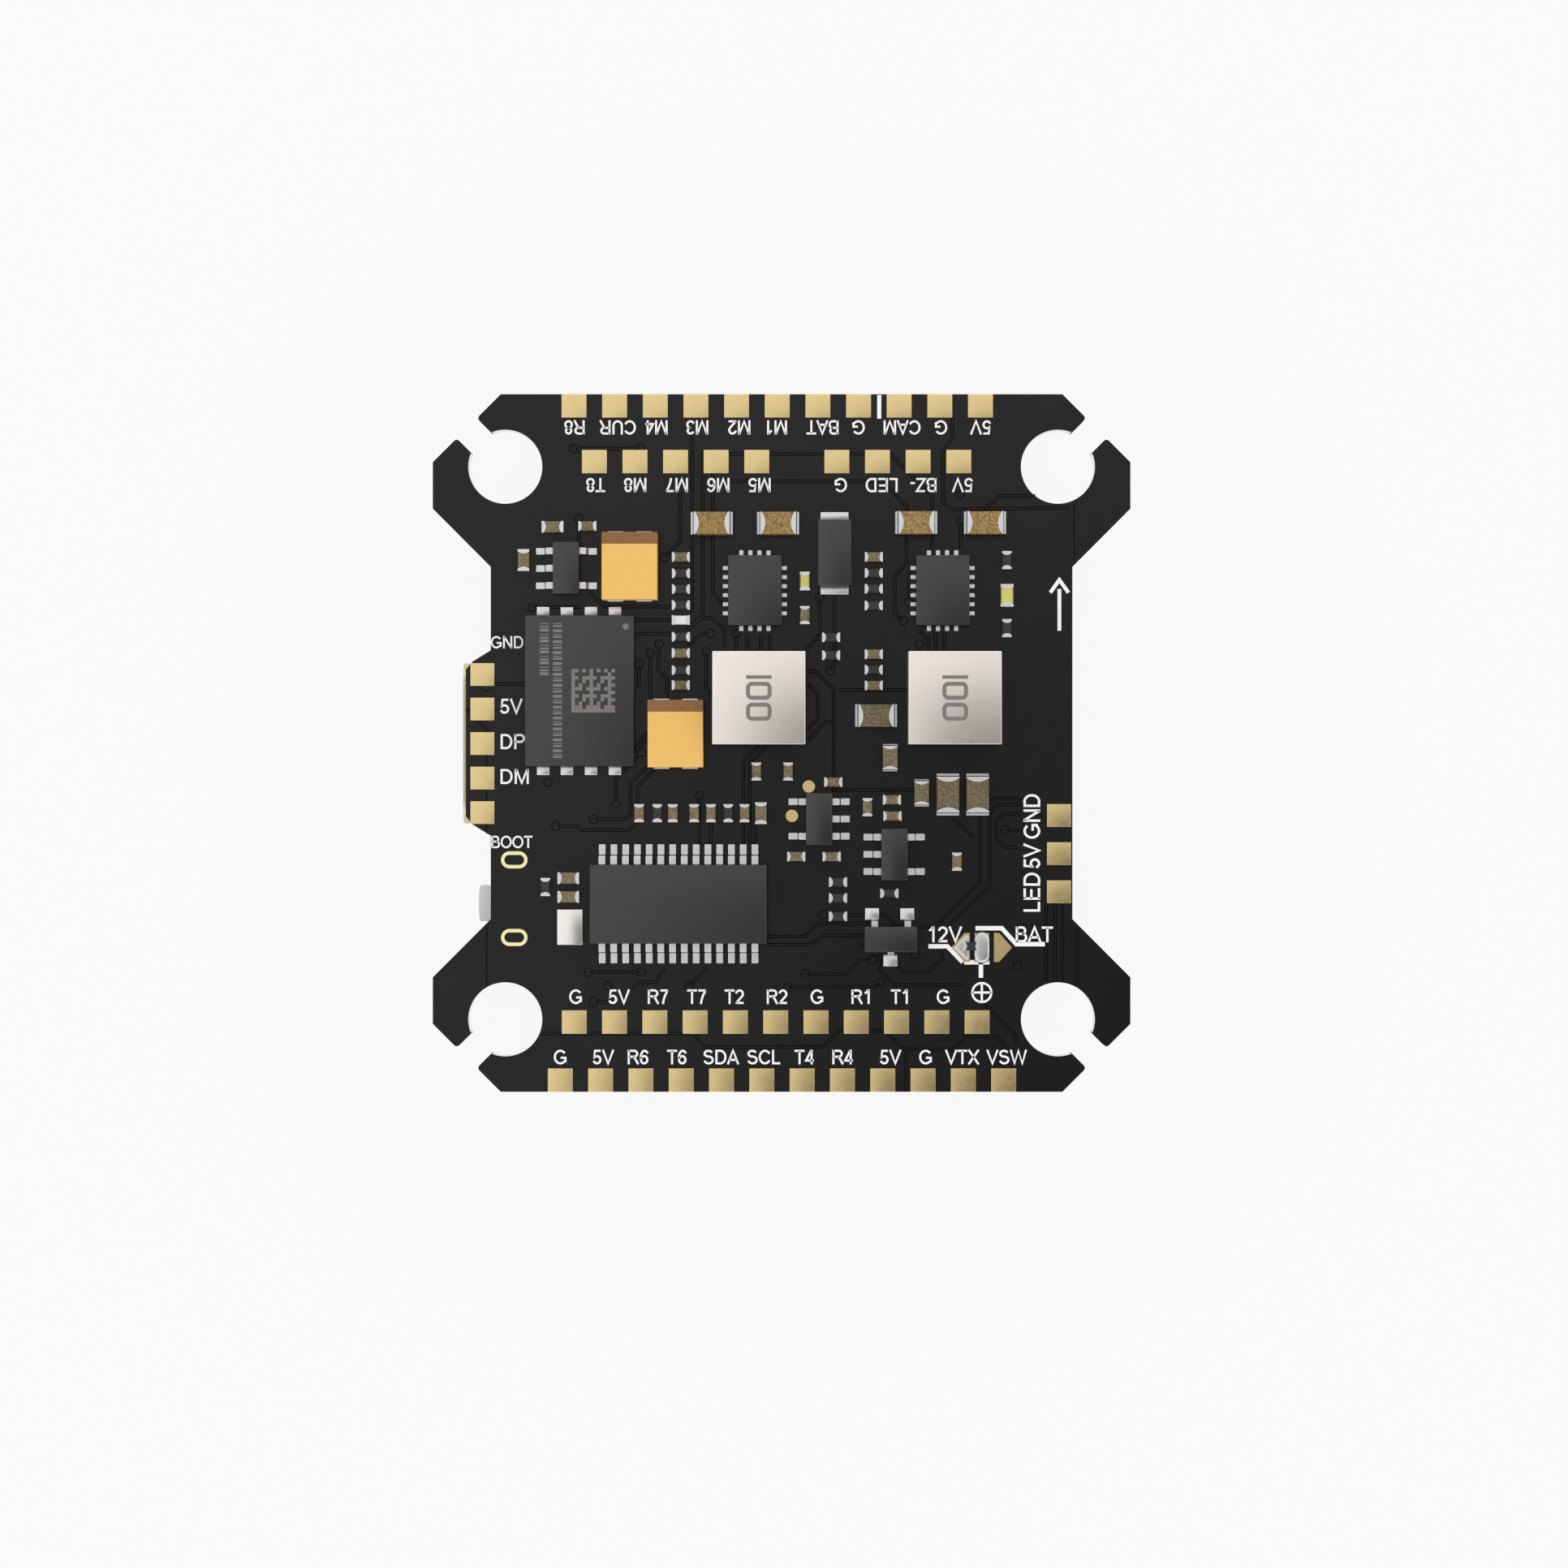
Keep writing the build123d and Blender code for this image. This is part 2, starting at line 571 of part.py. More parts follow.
def switch_housing():
    """The switch's plastic housing: a pocket for the plunger, open at the front and below."""
    gap = BUTTON_CLEARANCE
    between_legs = (SLOT_YS[1] + LEG_HALF_THICKNESS, SLOT_YS[0] - LEG_HALF_THICKNESS)
    housing = span((SWITCH_FRONT, SWITCH_BACK), between_legs, (SWITCH_RIM, -0.05))
    pocket = (SWITCH_RIM - 1, SWITCH_FLOOR)
    pocket_back = CONTACT_FRONT + CONTACT_THICKNESS
    housing -= switch_box((FLANGE_FRONT - gap, pocket_back), FLANGE_HALF_WIDTH + gap, pocket)
    housing -= switch_box((SWITCH_FRONT - 1, FLANGE_FRONT), NOSE_HALF_WIDTH + gap, pocket)
    return housing


def switch_cover():
    """The steel cover over the housing, with a leg at each side that enters a slot."""
    outside_legs = (SLOT_YS[1] - LEG_HALF_THICKNESS, SLOT_YS[0] + LEG_HALF_THICKNESS)
    cover = span((SWITCH_FRONT, SWITCH_BACK), outside_legs, (-1.75, SWITCH_RIM))
    for y in SLOT_YS:
        wall_y = (y - LEG_HALF_THICKNESS, y + LEG_HALF_THICKNESS)
        cover += span((SLOT_X - 0.45, SLOT_X + 0.45), wall_y, (-1.75, 1.1))
        cover += span((SWITCH_FRONT + 0.2, SWITCH_BACK - 0.3), wall_y, (-1.75, -0.35))
    return cover


def switch_plunger():
    """The button that is pressed from the side, with a flange that keeps it in the housing."""
    gap = BUTTON_CLEARANCE
    z_range = (SWITCH_RIM + gap, SWITCH_FLOOR - gap)
    nose = switch_box((NOSE_TIP, FLANGE_FRONT + 0.1), NOSE_HALF_WIDTH, z_range)
    bow = Pos(NOSE_TIP + NOSE_BOW_RADIUS, BUTTON_Y, 0) * Cylinder(NOSE_BOW_RADIUS, 10)
    nose &= bow
    nose = fillet(nose.edges().filter_by(Axis.Z).sort_by(Axis.X)[:2], NOSE_CORNER_RADIUS)
    flange = switch_box((FLANGE_FRONT, FLANGE_BACK), FLANGE_HALF_WIDTH, z_range)
    stem = switch_box((FLANGE_BACK, DOME_CROWN - gap), 0.35, z_range)
    return nose + flange + stem


def switch_dome():
    """The thin sprung dome behind the plunger, which bows towards it from the contact plate."""
    rim = CONTACT_FRONT - DOME_THICKNESS
    half, z_range = 1.2, (SWITCH_RIM + 0.15, SWITCH_FLOOR - 0.15)
    front = ThreePointArc((rim, -half), (DOME_CROWN, 0), (rim, half))
    middle = (DOME_CROWN + DOME_THICKNESS, 0)
    back = ThreePointArc((CONTACT_FRONT, half), middle, (CONTACT_FRONT, -half))
    ends = Line((rim, half), (CONTACT_FRONT, half)) + Line((CONTACT_FRONT, -half), (rim, -half))
    face = make_face(front + back + ends)
    dome = extrude(face, amount=z_range[1] - z_range[0], dir=(0, 0, 1))
    return Pos(0, BUTTON_Y, z_range[0]) * dome


def switch_contacts():
    """The plate that the dome closes onto, and the soldered terminals beside the housing."""
    plate_x = (CONTACT_FRONT, CONTACT_FRONT + CONTACT_THICKNESS)
    plate = switch_box(plate_x, 1.25, (SWITCH_RIM + 0.1, SWITCH_FLOOR - 0.1))
    terminals = [
        span((SWITCH_BACK, SWITCH_BACK + 0.6), (BUTTON_Y + y - 0.3, BUTTON_Y + y + 0.3), (-0.2, 0))
        for y in (-1.3, 1.3)
    ]
    return [plate] + terminals


# ---- Wire-to-board sockets -------------------------------------------------------------------
PIN_WIDTH = 0.25
PIN_Z = (1.25, 1.5)


def socket_pin_xs(count):
    """Positions of a socket's contacts along its width."""
    return [(number - (count - 1) / 2) * SOCKET_PITCH for number in range(count)]


def socket_half_width(count):
    """Half of the width of a socket's housing."""
    return (count - 1) * SOCKET_PITCH / 2 + SOCKET_END_MARGIN


def socket_housing(count):
    """A socket's housing with its mouth at y = 0, open towards +Y, and its back at -Y."""
    half = socket_half_width(count)
    housing = span((-half, half), (-SOCKET_DEPTH, 0), (0, SOCKET_HEIGHT))
    housing -= span((-half + 0.5, half - 0.5), (-3.3, 1), (0.6, 2.5))
    for x in (-half + 1.6, half - 1.6):
        housing -= span((x - 0.45, x + 0.45), (-1.3, 1), (2.4, 3))
    for x in socket_pin_xs(count):
        housing -= span((x - PIN_WIDTH / 2, x + PIN_WIDTH / 2), (-5, -3), PIN_Z)
    for sign in (-1, 1):
        recess = sorted((sign * (half - 0.2), sign * (half + 1)))
        housing -= span(recess, (-2.8, -1.0), (-1, 1.0))
    return housing


def socket_pins(count):
    """A socket's contacts: each runs through the housing's back wall and down to the board."""
    low, high = PIN_Z
    points = [(0.9, high), (4.5, high), (4.65, 0.15), (5.1, 0.15), (5.1, 0), (4.5, 0), (4.35, low)]
    pin = Rot(0, 0, -90) * side_profile(points + [(0.9, low)], PIN_WIDTH)
    return [Pos(x, 0, 0) * pin for x in socket_pin_xs(count)]


def socket_anchors(count):
    """The two bent metal tabs that hold a socket's ends to the board."""
    half = socket_half_width(count)
    upright = span((half - 0.2, half), (-2.8, -1.0), (0, 1.0))
    foot = span((half, half + 0.6), (-2.7, -1.1), (0, 0.15))
    anchor = upright + foot
    return [anchor, mirror(anchor, about=Plane.YZ)]


ESC_PINS = 8
VIDEO_PINS = 6


def place_socket(shapes, direction):
    """Hang a socket from the underside at the board's upper (+1) or lower (-1) edge."""
    turn = 180 if direction > 0 else 0
    return [on_underside(shape, 0, direction * SOCKET_MOUTH, turn) for shape in shapes]


# ---- Write every sub-part ---------------------------------------------------------------------
def write_pads():
    edge_y = BOARD_HALF - PAD_DEPTH / 2
    save("pads_top_edge", pad_row(evenly(-11.455, 2.243, 11), edge_y))
    inner_xs = evenly(-10.33, 2.24, 5) + evenly(3.05, 2.243, 4)
    save("pads_top_inner", pad_row(inner_xs, 15.53))
    save("pads_bottom_inner", pad_row(evenly(-11.44, 2.223, 11), -15.40))
    save("pads_bottom_edge", pad_row(evenly(-12.21, 2.224, 12), -edge_y))
    save("pads_usb_side", pad_column(-16.51, evenly(3.78, -1.905, 5)))
    save("pads_led_side", pad_column(15.31, evenly(-4.0, -2.105, 3)))
    test_pad = extrude(Circle(0.34), amount=PAD_THICKNESS)
    save("test_pads", [on_top(test_pad, *place) for place in TEST_PAD_PLACES])
    save("jumper_pads", jumper_pads())
    save("jumper_solder", jumper_solder())
    save("switch_slot_rings", switch_slot_rings())


def write_chips():
    large = place_chips(CHIP_0805, LARGE_CAPACITORS, on_top)
    save("large_capacitor_bodies", large[0])
    save("large_capacitor_terminals", large[1])
    small_sets = [
        place_chips(CHIP_0603, MEDIUM_CAPACITORS, on_top),
        place_chips(CHIP_0402_THICK, THICK_SMALL_CAPACITORS, on_top),
        place_chips(CHIP_0402, SMALL_CAPACITORS, on_top),
        place_chips(CHIP_0603, UNDERSIDE_MEDIUM_CAPACITORS, on_underside),
        place_chips(CHIP_0402, UNDERSIDE_SMALL_CAPACITORS, on_underside),
    ]
    save("small_capacitor_bodies", [body for bodies, _ in small_sets for body in bodies])
    save("small_capacitor_terminals", [end for _, ends in small_sets for end in ends])
    resistor_sets = [
        place_chips(RESISTOR_0402, RESISTORS, on_top),
        place_chips(RESISTOR_0402, UNDERSIDE_RESISTORS, on_underside),
    ]
    on_pads = Pos(0, 0, PAD_THICKNESS)
    body, ends = chip(JUMPER_RESISTOR)
    jumper_bodies = [on_top(on_pads * body, *JUMPER_RESISTOR_PLACE)]
    jumper_ends = [on_top(on_pads * end, *JUMPER_RESISTOR_PLACE) for end in ends]
    save("resistor_bodies", [body for bodies, _ in resistor_sets for body in bodies] + jumper_bodies)
    save("resistor_terminals", [end for _, ends in resistor_sets for end in ends] + jumper_ends)
    led_sets = [
        place_chips(LED_0402, [SMALL_LED_PLACE], on_top),
        place_chips(LED_0603, [LARGE_LED_PLACE], on_top),
    ]
    save("led_bodies", [body for bodies, _ in led_sets for body in bodies])
    save("led_terminals", [end for _, ends in led_sets for end in ends])
    fuse = place_chips(CHIP_0402, [FUSE_PLACE], on_top)
    save("fuse_body", fuse[0])
    save("fuse_terminals", fuse[1])


def write_packages():
    pairs = {
        ("flash_memory_body", "flash_memory_terminals"): flash_memory,
        ("display_chip_body", "display_chip_leads"): display_chip,
        ("converter_bodies", "converter_terminals"): converters,
        ("inductor_bodies", "inductor_terminals"): inductors,
        ("tantalum_bodies", "tantalum_terminals"): tantalum_capacitors,
        ("regulator_bodies", "regulator_leads"): regulators,
        ("transistor_body", "transistor_leads"): transistor,
        ("diode_body", "diode_terminals"): diode,
        ("microcontroller_body", "microcontroller_leads"): microcontroller,
        ("barometer_base", "barometer_lid"): barometer,
    }
    for (first_name, second_name), make in pairs.items():
        first, second = make()
        save(first_name, first)
        save(second_name, second)
    save("display_crystal", [on_top(crystal(1.4, 1.94, 0.5), *TOP_CRYSTAL_PLACE)])
    save("processor_crystal", [on_underside(crystal(3.2, 2.5, 0.7), *MCU_CRYSTAL_PLACE)])
    save("gyro_body", [on_underside(moulded_body(2.5, 3.0, 0.91), *GYRO_PLACE)])


def write_sockets_and_switch():
    save("usb_shell", [usb_shell()])
    save("usb_tongue", [usb_tongue()])
    save("usb_contacts", usb_contacts())
    save("switch_housing", [switch_housing()])
    save("switch_cover", [switch_cover()])
    save("switch_dome", [switch_dome()])
    save("switch_contacts", switch_contacts())
    save("switch_plunger", [switch_plunger()])
    save("esc_socket_housing", place_socket([socket_housing(ESC_PINS)], 1))
    save("esc_socket_pins", place_socket(socket_pins(ESC_PINS), 1))
    save("video_socket_housing", place_socket([socket_housing(VIDEO_PINS)], -1))
    save("video_socket_pins", place_socket(socket_pins(VIDEO_PINS), -1))
    anchors = place_socket(socket_anchors(ESC_PINS), 1) + place_socket(socket_anchors(VIDEO_PINS), -1)
    save("socket_anchors", anchors)


os.makedirs("parts", exist_ok=True)
save("circuit_board", [board()])
write_pads()
write_chips()
write_packages()
write_sockets_and_switch()
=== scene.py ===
"""The looks of the flight controller board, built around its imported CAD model."""
import json
import math

import bmesh
import bpy
from mathutils import Matrix, Vector

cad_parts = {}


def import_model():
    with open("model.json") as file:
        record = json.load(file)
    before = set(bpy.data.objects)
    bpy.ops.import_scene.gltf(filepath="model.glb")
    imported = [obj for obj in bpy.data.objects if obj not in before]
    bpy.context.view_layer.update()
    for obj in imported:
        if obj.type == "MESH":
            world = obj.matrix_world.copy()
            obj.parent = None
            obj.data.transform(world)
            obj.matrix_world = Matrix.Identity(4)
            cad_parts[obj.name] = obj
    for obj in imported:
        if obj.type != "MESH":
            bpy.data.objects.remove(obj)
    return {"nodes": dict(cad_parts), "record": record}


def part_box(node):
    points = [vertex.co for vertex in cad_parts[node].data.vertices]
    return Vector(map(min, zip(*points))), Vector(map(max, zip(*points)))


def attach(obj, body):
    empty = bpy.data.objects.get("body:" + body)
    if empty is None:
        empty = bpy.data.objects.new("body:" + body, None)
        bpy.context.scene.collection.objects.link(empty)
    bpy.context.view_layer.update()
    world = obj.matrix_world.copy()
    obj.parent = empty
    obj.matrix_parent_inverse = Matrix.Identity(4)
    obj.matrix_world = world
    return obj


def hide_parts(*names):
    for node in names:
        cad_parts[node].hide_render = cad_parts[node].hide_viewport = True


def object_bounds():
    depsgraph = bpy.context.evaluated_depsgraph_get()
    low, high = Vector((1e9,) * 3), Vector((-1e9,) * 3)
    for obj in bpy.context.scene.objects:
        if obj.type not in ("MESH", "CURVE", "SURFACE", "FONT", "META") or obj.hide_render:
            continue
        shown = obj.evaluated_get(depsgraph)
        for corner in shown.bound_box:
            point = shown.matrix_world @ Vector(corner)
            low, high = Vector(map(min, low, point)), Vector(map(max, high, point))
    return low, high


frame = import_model()
cad_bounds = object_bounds()

MM = 0.001
BOARD_BODY = "board"
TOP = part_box("circuit_board")[1].z / MM       # the board's top face, in millimetres
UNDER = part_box("circuit_board")[0].z / MM     # the board's underside
CREASE = math.radians(40)                     # faces that meet more sharply than this keep a hard edge


# ---- Materials ------------------------------------------------------------------------------
REFRACTIVE_INDEX = 1.5       # that of common plastics, resins and glass
MASK_MOTTLE = 0.14           # how much the solder mask's shade varies either side
MASK_MOTTLE_SIZE = 1.4
MASKED_SLOPE = 0.6           # the board's faces carry mask where they point this much up or down
CUT_EDGE_ROUGHNESS = 0.62


class Material:
    """A Principled material with helpers for procedural detail, measured in millimetres."""

    def __init__(self, name, color, roughness, metallic=0.0, specular=0.5, coat=0.0):
        self.data = bpy.data.materials.new(name)
        self.data.use_nodes = True
        self.tree = self.data.node_tree
        self.shader = self.tree.nodes["Principled BSDF"]
        self.color = color
        self.roughness = roughness
        self.set("Base Color", (*color, 1.0))
        self.set("Roughness", roughness)
        self.set("Metallic", metallic)
        self.set("Specular IOR Level", specular)
        self.set("IOR", REFRACTIVE_INDEX)
        self.set("Coat Weight", coat)
        self.data.diffuse_color = (*color, 1.0)
        place = self.node("ShaderNodeTexCoord")
        scale = self.node("ShaderNodeVectorMath", operation="SCALE")
        scale.inputs["Scale"].default_value = 1.0 / MM
        self.link(place.outputs["Object"], scale.inputs[0])
        self.place = scale.outputs[0]

    def node(self, kind, **settings):
        """Add a node and set its properties."""
        made = self.tree.nodes.new(kind)
        for key, value in settings.items():
            setattr(made, key, value)
        return made

    def link(self, start, end):
        """Join two sockets."""
        self.tree.links.new(start, end)

    def set(self, socket, value):
        """Set a constant on the shader itself."""
        self.shader.inputs[socket].default_value = value

    def noise(self, size, detail=3.0, stretch=(1, 1, 1), roughness=0.55):
        """A noise pattern whose features are about the given size in millimetres."""
        source = self.place
        if stretch != (1, 1, 1):
            scaled = self.node("ShaderNodeVectorMath", operation="MULTIPLY")
            scaled.inputs[1].default_value = [1.0 / s for s in stretch]
            self.link(self.place, scaled.inputs[0])
            source = scaled.outputs[0]
        noise = self.node("ShaderNodeTexNoise")
        noise.inputs["Scale"].default_value = 1.0 / size
        noise.inputs["Detail"].default_value = detail
        noise.inputs["Roughness"].default_value = roughness
        self.link(source, noise.inputs["Vector"])
        return noise.outputs["Fac"]

    def ramp(self, source, stops):
        """Turn a pattern into colours at the given stops."""
        ramp = self.node("ShaderNodeValToRGB")
        elements = ramp.color_ramp.elements
        while len(elements) < len(stops):
            elements.new(0.5)
        for element, (position, color) in zip(elements, stops):
            element.position = position
            element.color = (*color, 1.0)
        self.link(source, ramp.inputs["Fac"])
        return ramp.outputs["Color"]

    def tint(self, spread, size, **pattern):
        """Vary the base colour by a share either side, following noise of a size."""
        dark = [c * (1 - spread) for c in self.color]
        light = [min(1.0, c * (1 + spread)) for c in self.color]
        shades = self.ramp(self.noise(size, **pattern), [(0.3, dark), (0.7, light)])
        self.link(shades, self.shader.inputs["Base Color"])
        return self

    def vary_roughness(self, spread, size, **pattern):
        """Vary the roughness either side of its middle value, following noise of a size."""
        fit = self.node("ShaderNodeMapRange")
        fit.inputs["From Min"].default_value = 0.3
        fit.inputs["From Max"].default_value = 0.7
        fit.inputs["To Min"].default_value = self.roughness - spread
        fit.inputs["To Max"].default_value = self.roughness + spread
        self.link(self.noise(size, **pattern), fit.inputs["Value"])
        self.link(fit.outputs["Result"], self.shader.inputs["Roughness"])
        return self

    def bump(self, depth, strength, size, **pattern):
        """Raise the surface by noise of a size, to a depth in millimetres."""
        bump = self.node("ShaderNodeBump")
        bump.inputs["Distance"].default_value = depth * MM
        bump.inputs["Strength"].default_value = strength
        self.link(self.noise(size, **pattern), bump.inputs["Height"])
        self.link(bump.outputs["Normal"], self.shader.inputs["Normal"])
        return self


def black_mask(name):
    """Satin black solder mask, with the glass weave just felt through it."""
    made = Material(name, (0.0042, 0.0042, 0.0047), 0.25, specular=0.33)
    return made.bump(0.002, 0.2, 0.35, stretch=(1, 2.5, 1))


def solder_mask():
    """Solder mask over raised copper."""
    made = black_mask("solder_mask")
    made.tint(MASK_MOTTLE, MASK_MOTTLE_SIZE)
    return made.vary_roughness(0.03, 0.5)


def masked_laminate():
    """The board itself: solder mask on its faces and bare glass-epoxy plies round its cut edges."""
    made = black_mask("masked_laminate")
    facing = made.node("ShaderNodeSeparateXYZ")
    coordinates = made.node("ShaderNodeTexCoord")
    made.link(coordinates.outputs["Normal"], facing.inputs["Vector"])
    height = made.node("ShaderNodeMath", operation="ABSOLUTE")
    made.link(facing.outputs["Z"], height.inputs[0])
    masked = made.node("ShaderNodeMath", operation="GREATER_THAN")
    masked.inputs[1].default_value = MASKED_SLOPE
    made.link(height.outputs[0], masked.inputs[0])
    dark = [c * (1 - MASK_MOTTLE) for c in made.color]
    light = [c * (1 + MASK_MOTTLE) for c in made.color]
    mask_color = made.ramp(made.noise(MASK_MOTTLE_SIZE), [(0.3, dark), (0.5, made.color), (0.7, light)])
    plies = made.noise(0.13, detail=2, stretch=(14, 14, 1))
    resin, weave, glass = (0.013, 0.012, 0.01), (0.022, 0.02, 0.017), (0.038, 0.034, 0.028)
    ply_color = made.ramp(plies, [(0.35, resin), (0.5, weave), (0.65, glass)])
    color = made.node("ShaderNodeMix", data_type="RGBA")
    made.link(masked.outputs[0], color.inputs["Factor"])
    made.link(ply_color, color.inputs["A"])
    made.link(mask_color, color.inputs["B"])
    made.link(color.outputs["Result"], made.shader.inputs["Base Color"])
    gloss = made.node("ShaderNodeMapRange")
    gloss.inputs["To Min"].default_value = CUT_EDGE_ROUGHNESS
    gloss.inputs["To Max"].default_value = made.roughness
    made.link(masked.outputs[0], gloss.inputs["Value"])
    made.link(gloss.outputs["Result"], made.shader.inputs["Roughness"])
    return made


def track_shade_paint():
    """Painted shade on the sloping flank of a copper track under the mask and in the gaps of the copper,
    darker too where the mask lies on bare laminate.
    """
    made = Material("track_side_painted_shade", (0.0012, 0.0012, 0.0014), 0.6, specular=0.05)
    return made.tint(0.3, 0.8)


def gold_plating():
    """Satin gold over copper, with fine grain."""
    made = Material("gold_plating", (0.88, 0.68, 0.33), 0.25, metallic=1.0)
    made.tint(0.02, 0.25)
    made.vary_roughness(0.02, 0.3)
    return made.bump(0.001, 0.25, 0.12, stretch=(4, 1, 1))


def pale_gold():
    """The brighter, freshly plated gold around the switch's slots."""
    made = Material("pale_gold_plating", (1.0, 0.92, 0.48), 0.42, metallic=0.3)
    made.tint(0.04, 0.2)
    return made.bump(0.003, 0.3, 0.08)


def tinned_metal():
    """Satin tin, slightly uneven where it was plated and reflowed."""
    made = Material("tinned_metal", (0.8, 0.8, 0.81), 0.3, metallic=1.0)
    made.tint(0.03, 0.2)
    made.vary_roughness(0.03, 0.2)
    return made.bump(0.001, 0.1, 0.15)


def cap_plating():
    """The paler fired plating on the ends of the chips."""
    made = Material("cap_plating", (0.84, 0.84, 0.86), 0.34, metallic=1.0)
    made.tint(0.04, 0.12)
    return made.bump(0.0012, 0.15, 0.1)


def ledge_solder():
    """The greyer solder along the outer foot of a larger chip's ends."""
    made = Material("ledge_solder", (0.68, 0.68, 0.7), 0.32, metallic=1.0)
    made.tint(0.04, 0.15)
    return made.bump(0.001, 0.15, 0.12)


def painted_shade_for_bends():
    """Dull, dark painted shade for the bends of leads and the seams of chip ends, where shade falls."""
    made = Material("painted_shade_at_bends", (0.035, 0.035, 0.037), 0.6, metallic=0.3)
    return made.tint(0.2, 0.1)


def solder():
    """Smooth solder with a faint frozen ripple."""
    made = Material("solder", (0.66, 0.66, 0.67), 0.33, metallic=1.0)
    made.tint(0.05, 0.4)
    return made.bump(0.002, 0.2, 0.5, stretch=(1, 2, 1))


def chip_plastic():
    """Charcoal moulding compound with a fine matte grain."""
    made = Material("chip_plastic", (0.0072, 0.0072, 0.0079), 0.27, specular=0.92)
    made.tint(0.03, 0.05, detail=4)
    made.vary_roughness(0.005, 0.3)
    return made.bump(0.0003, 0.03, 0.04)


def laser_mark():
    """The paler surface that a laser leaves on moulding compound."""
    made = Material("laser_mark", (0.21, 0.2, 0.185), 0.65, specular=0.3)
    made.tint(0.2, 0.06)
    return made.bump(0.004, 0.5, 0.04)


def inductor_composite():
    """Pressed metal powder under a pale satin coat."""
    made = Material("inductor_composite", (1.0, 0.935, 0.855), 0.22, metallic=1.0)
    made.tint(0.015, 0.12, detail=5)
    made.vary_roughness(0.01, 0.4)
    return made.bump(0.0006, 0.15, 0.1, detail=4, stretch=(3, 1, 1))


def inductor_flank():
    """The pressed sides of an inductor, duller and darker than its coated top."""
    made = Material("inductor_flank", (0.6, 0.57, 0.54), 0.42, metallic=1.0)
    made.tint(0.06, 0.15, detail=5)
    return made.bump(0.004, 0.4, 0.08, detail=5)


def inductor_mark():
    """Grey printed value code."""
    made = Material("inductor_mark", (0.2, 0.19, 0.18), 0.5)
    return made.tint(0.15, 0.1)


def tantalum_resin():
    """Orange resin, slightly waxy."""
    made = Material("tantalum_resin", (0.9, 0.54, 0.145), 0.5, specular=0.3)
    made.tint(0.03, 0.1, detail=4)
    return made.bump(0.0015, 0.3, 0.08)


def tantalum_band():
    """The brown polarity band."""
    made = Material("tantalum_band", (0.27, 0.13, 0.045), 0.5, specular=0.3)
    made.tint(0.12, 0.15)
    return made.bump(0.003, 0.3, 0.08)


def crystal_can():
    """Satin nickel with a fine brushed grain."""
    made = Material("crystal_can", (1.0, 0.955, 0.9), 0.2, metallic=1.0)
    made.tint(0.01, 0.3, stretch=(1, 6, 1))
    return made.bump(0.0005, 0.1, 0.1, stretch=(1, 8, 1))


def ceramic(name, color, grain):
    """Speckled fired ceramic."""
    made = Material(name, color, 0.5, specular=0.4)
    light = [min(1.0, c * 1.7) for c in color]
    dark = [c * 0.5 for c in color]
    speckle = made.noise(grain, roughness=0.6)
    mottle = made.ramp(speckle, [(0.38, dark), (0.5, color), (0.62, light)])
    made.link(mottle, made.shader.inputs["Base Color"])
    return made.bump(0.002, 0.4, grain * 0.8)


def resistor_glaze():
    """Dark glaze over a resistive film."""
    made = Material("resistor_glaze", (0.028, 0.028, 0.03), 0.3, specular=0.45)
    made.tint(0.15, 0.12)
    return made.bump(0.004, 0.3, 0.12)


def led_lens():
    """Yellow-green phosphor under clear resin."""
    made = Material("led_lens", (0.64, 0.62, 0.14), 0.22, coat=0.6)
    made.tint(0.1, 0.15)
    return made.bump(0.003, 0.2, 0.1)


def fuse_ceramic():
    """Glazed white ceramic."""
    made = Material("fuse_ceramic", (0.87, 0.87, 0.88), 0.3)
    made.tint(0.04, 0.1)
    return made.bump(0.003, 0.2, 0.1)


def usb_steel():
    """Plated steel shell with a faint drawn grain."""
    made = Material("usb_steel", (0.62, 0.55, 0.36), 0.3, metallic=1.0)
    made.tint(0.02, 0.2, stretch=(8, 1, 1))
    made.vary_roughness(0.03, 0.2, stretch=(6, 1, 1))
    return made.bump(0.0006, 0.2, 0.08, stretch=(10, 1, 1))


def plastic(name, color, roughness):
    """Moulded engineering plastic."""
    made = Material(name, color, roughness, specular=0.45)
    made.tint(0.02, 0.12, detail=4)
    made.vary_roughness(0.03, 0.3)
    return made.bump(0.003, 0.3, 0.09, detail=4)


def switch_steel():
    """Stamped steel with a rolled grain."""
    made = Material("switch_steel", (0.74, 0.74, 0.74), 0.28, metallic=1.0)
    made.tint(0.06, 0.4, stretch=(1, 8, 1))
    return made.bump(0.002, 0.35, 0.1, stretch=(1, 10, 1))


def silkscreen():
    """White legend ink, slightly uneven."""
    made = Material("legend_ink", (0.98, 0.98, 0.98), 0.55)
    made.tint(0.05, 0.15)
    return made.bump(0.004, 0.4, 0.1)


SLOT_LOOKS = {
    "solder_mask": solder_mask(),
    "gold_plating": gold_plating(),
    "solder": solder(),
    "tinned_metal": tinned_metal(),
    "chip_plastic": chip_plastic(),
    "inductor_composite": inductor_composite(),
    "tantalum_resin": tantalum_resin(),
    "crystal_can": crystal_can(),
    "capacitor_ceramic": ceramic("capacitor_ceramic", (0.15, 0.117, 0.06), 0.075),
    "resistor_glaze": resistor_glaze(),
    "led_lens": led_lens(),
    "fuse_ceramic": fuse_ceramic(),
    "usb_steel": usb_steel(),
    "socket_black": plastic("socket_black", (0.012, 0.012, 0.013), 0.5),
    "switch_steel": switch_steel(),
    "plunger_plastic": plastic("plunger_plastic", (0.97, 0.97, 0.95), 0.35),
    "socket_cream": plastic("socket_cream", (0.74, 0.7, 0.6), 0.5),
}
BOARD_SKIN = masked_laminate()
CAP_PLATING = cap_plating()
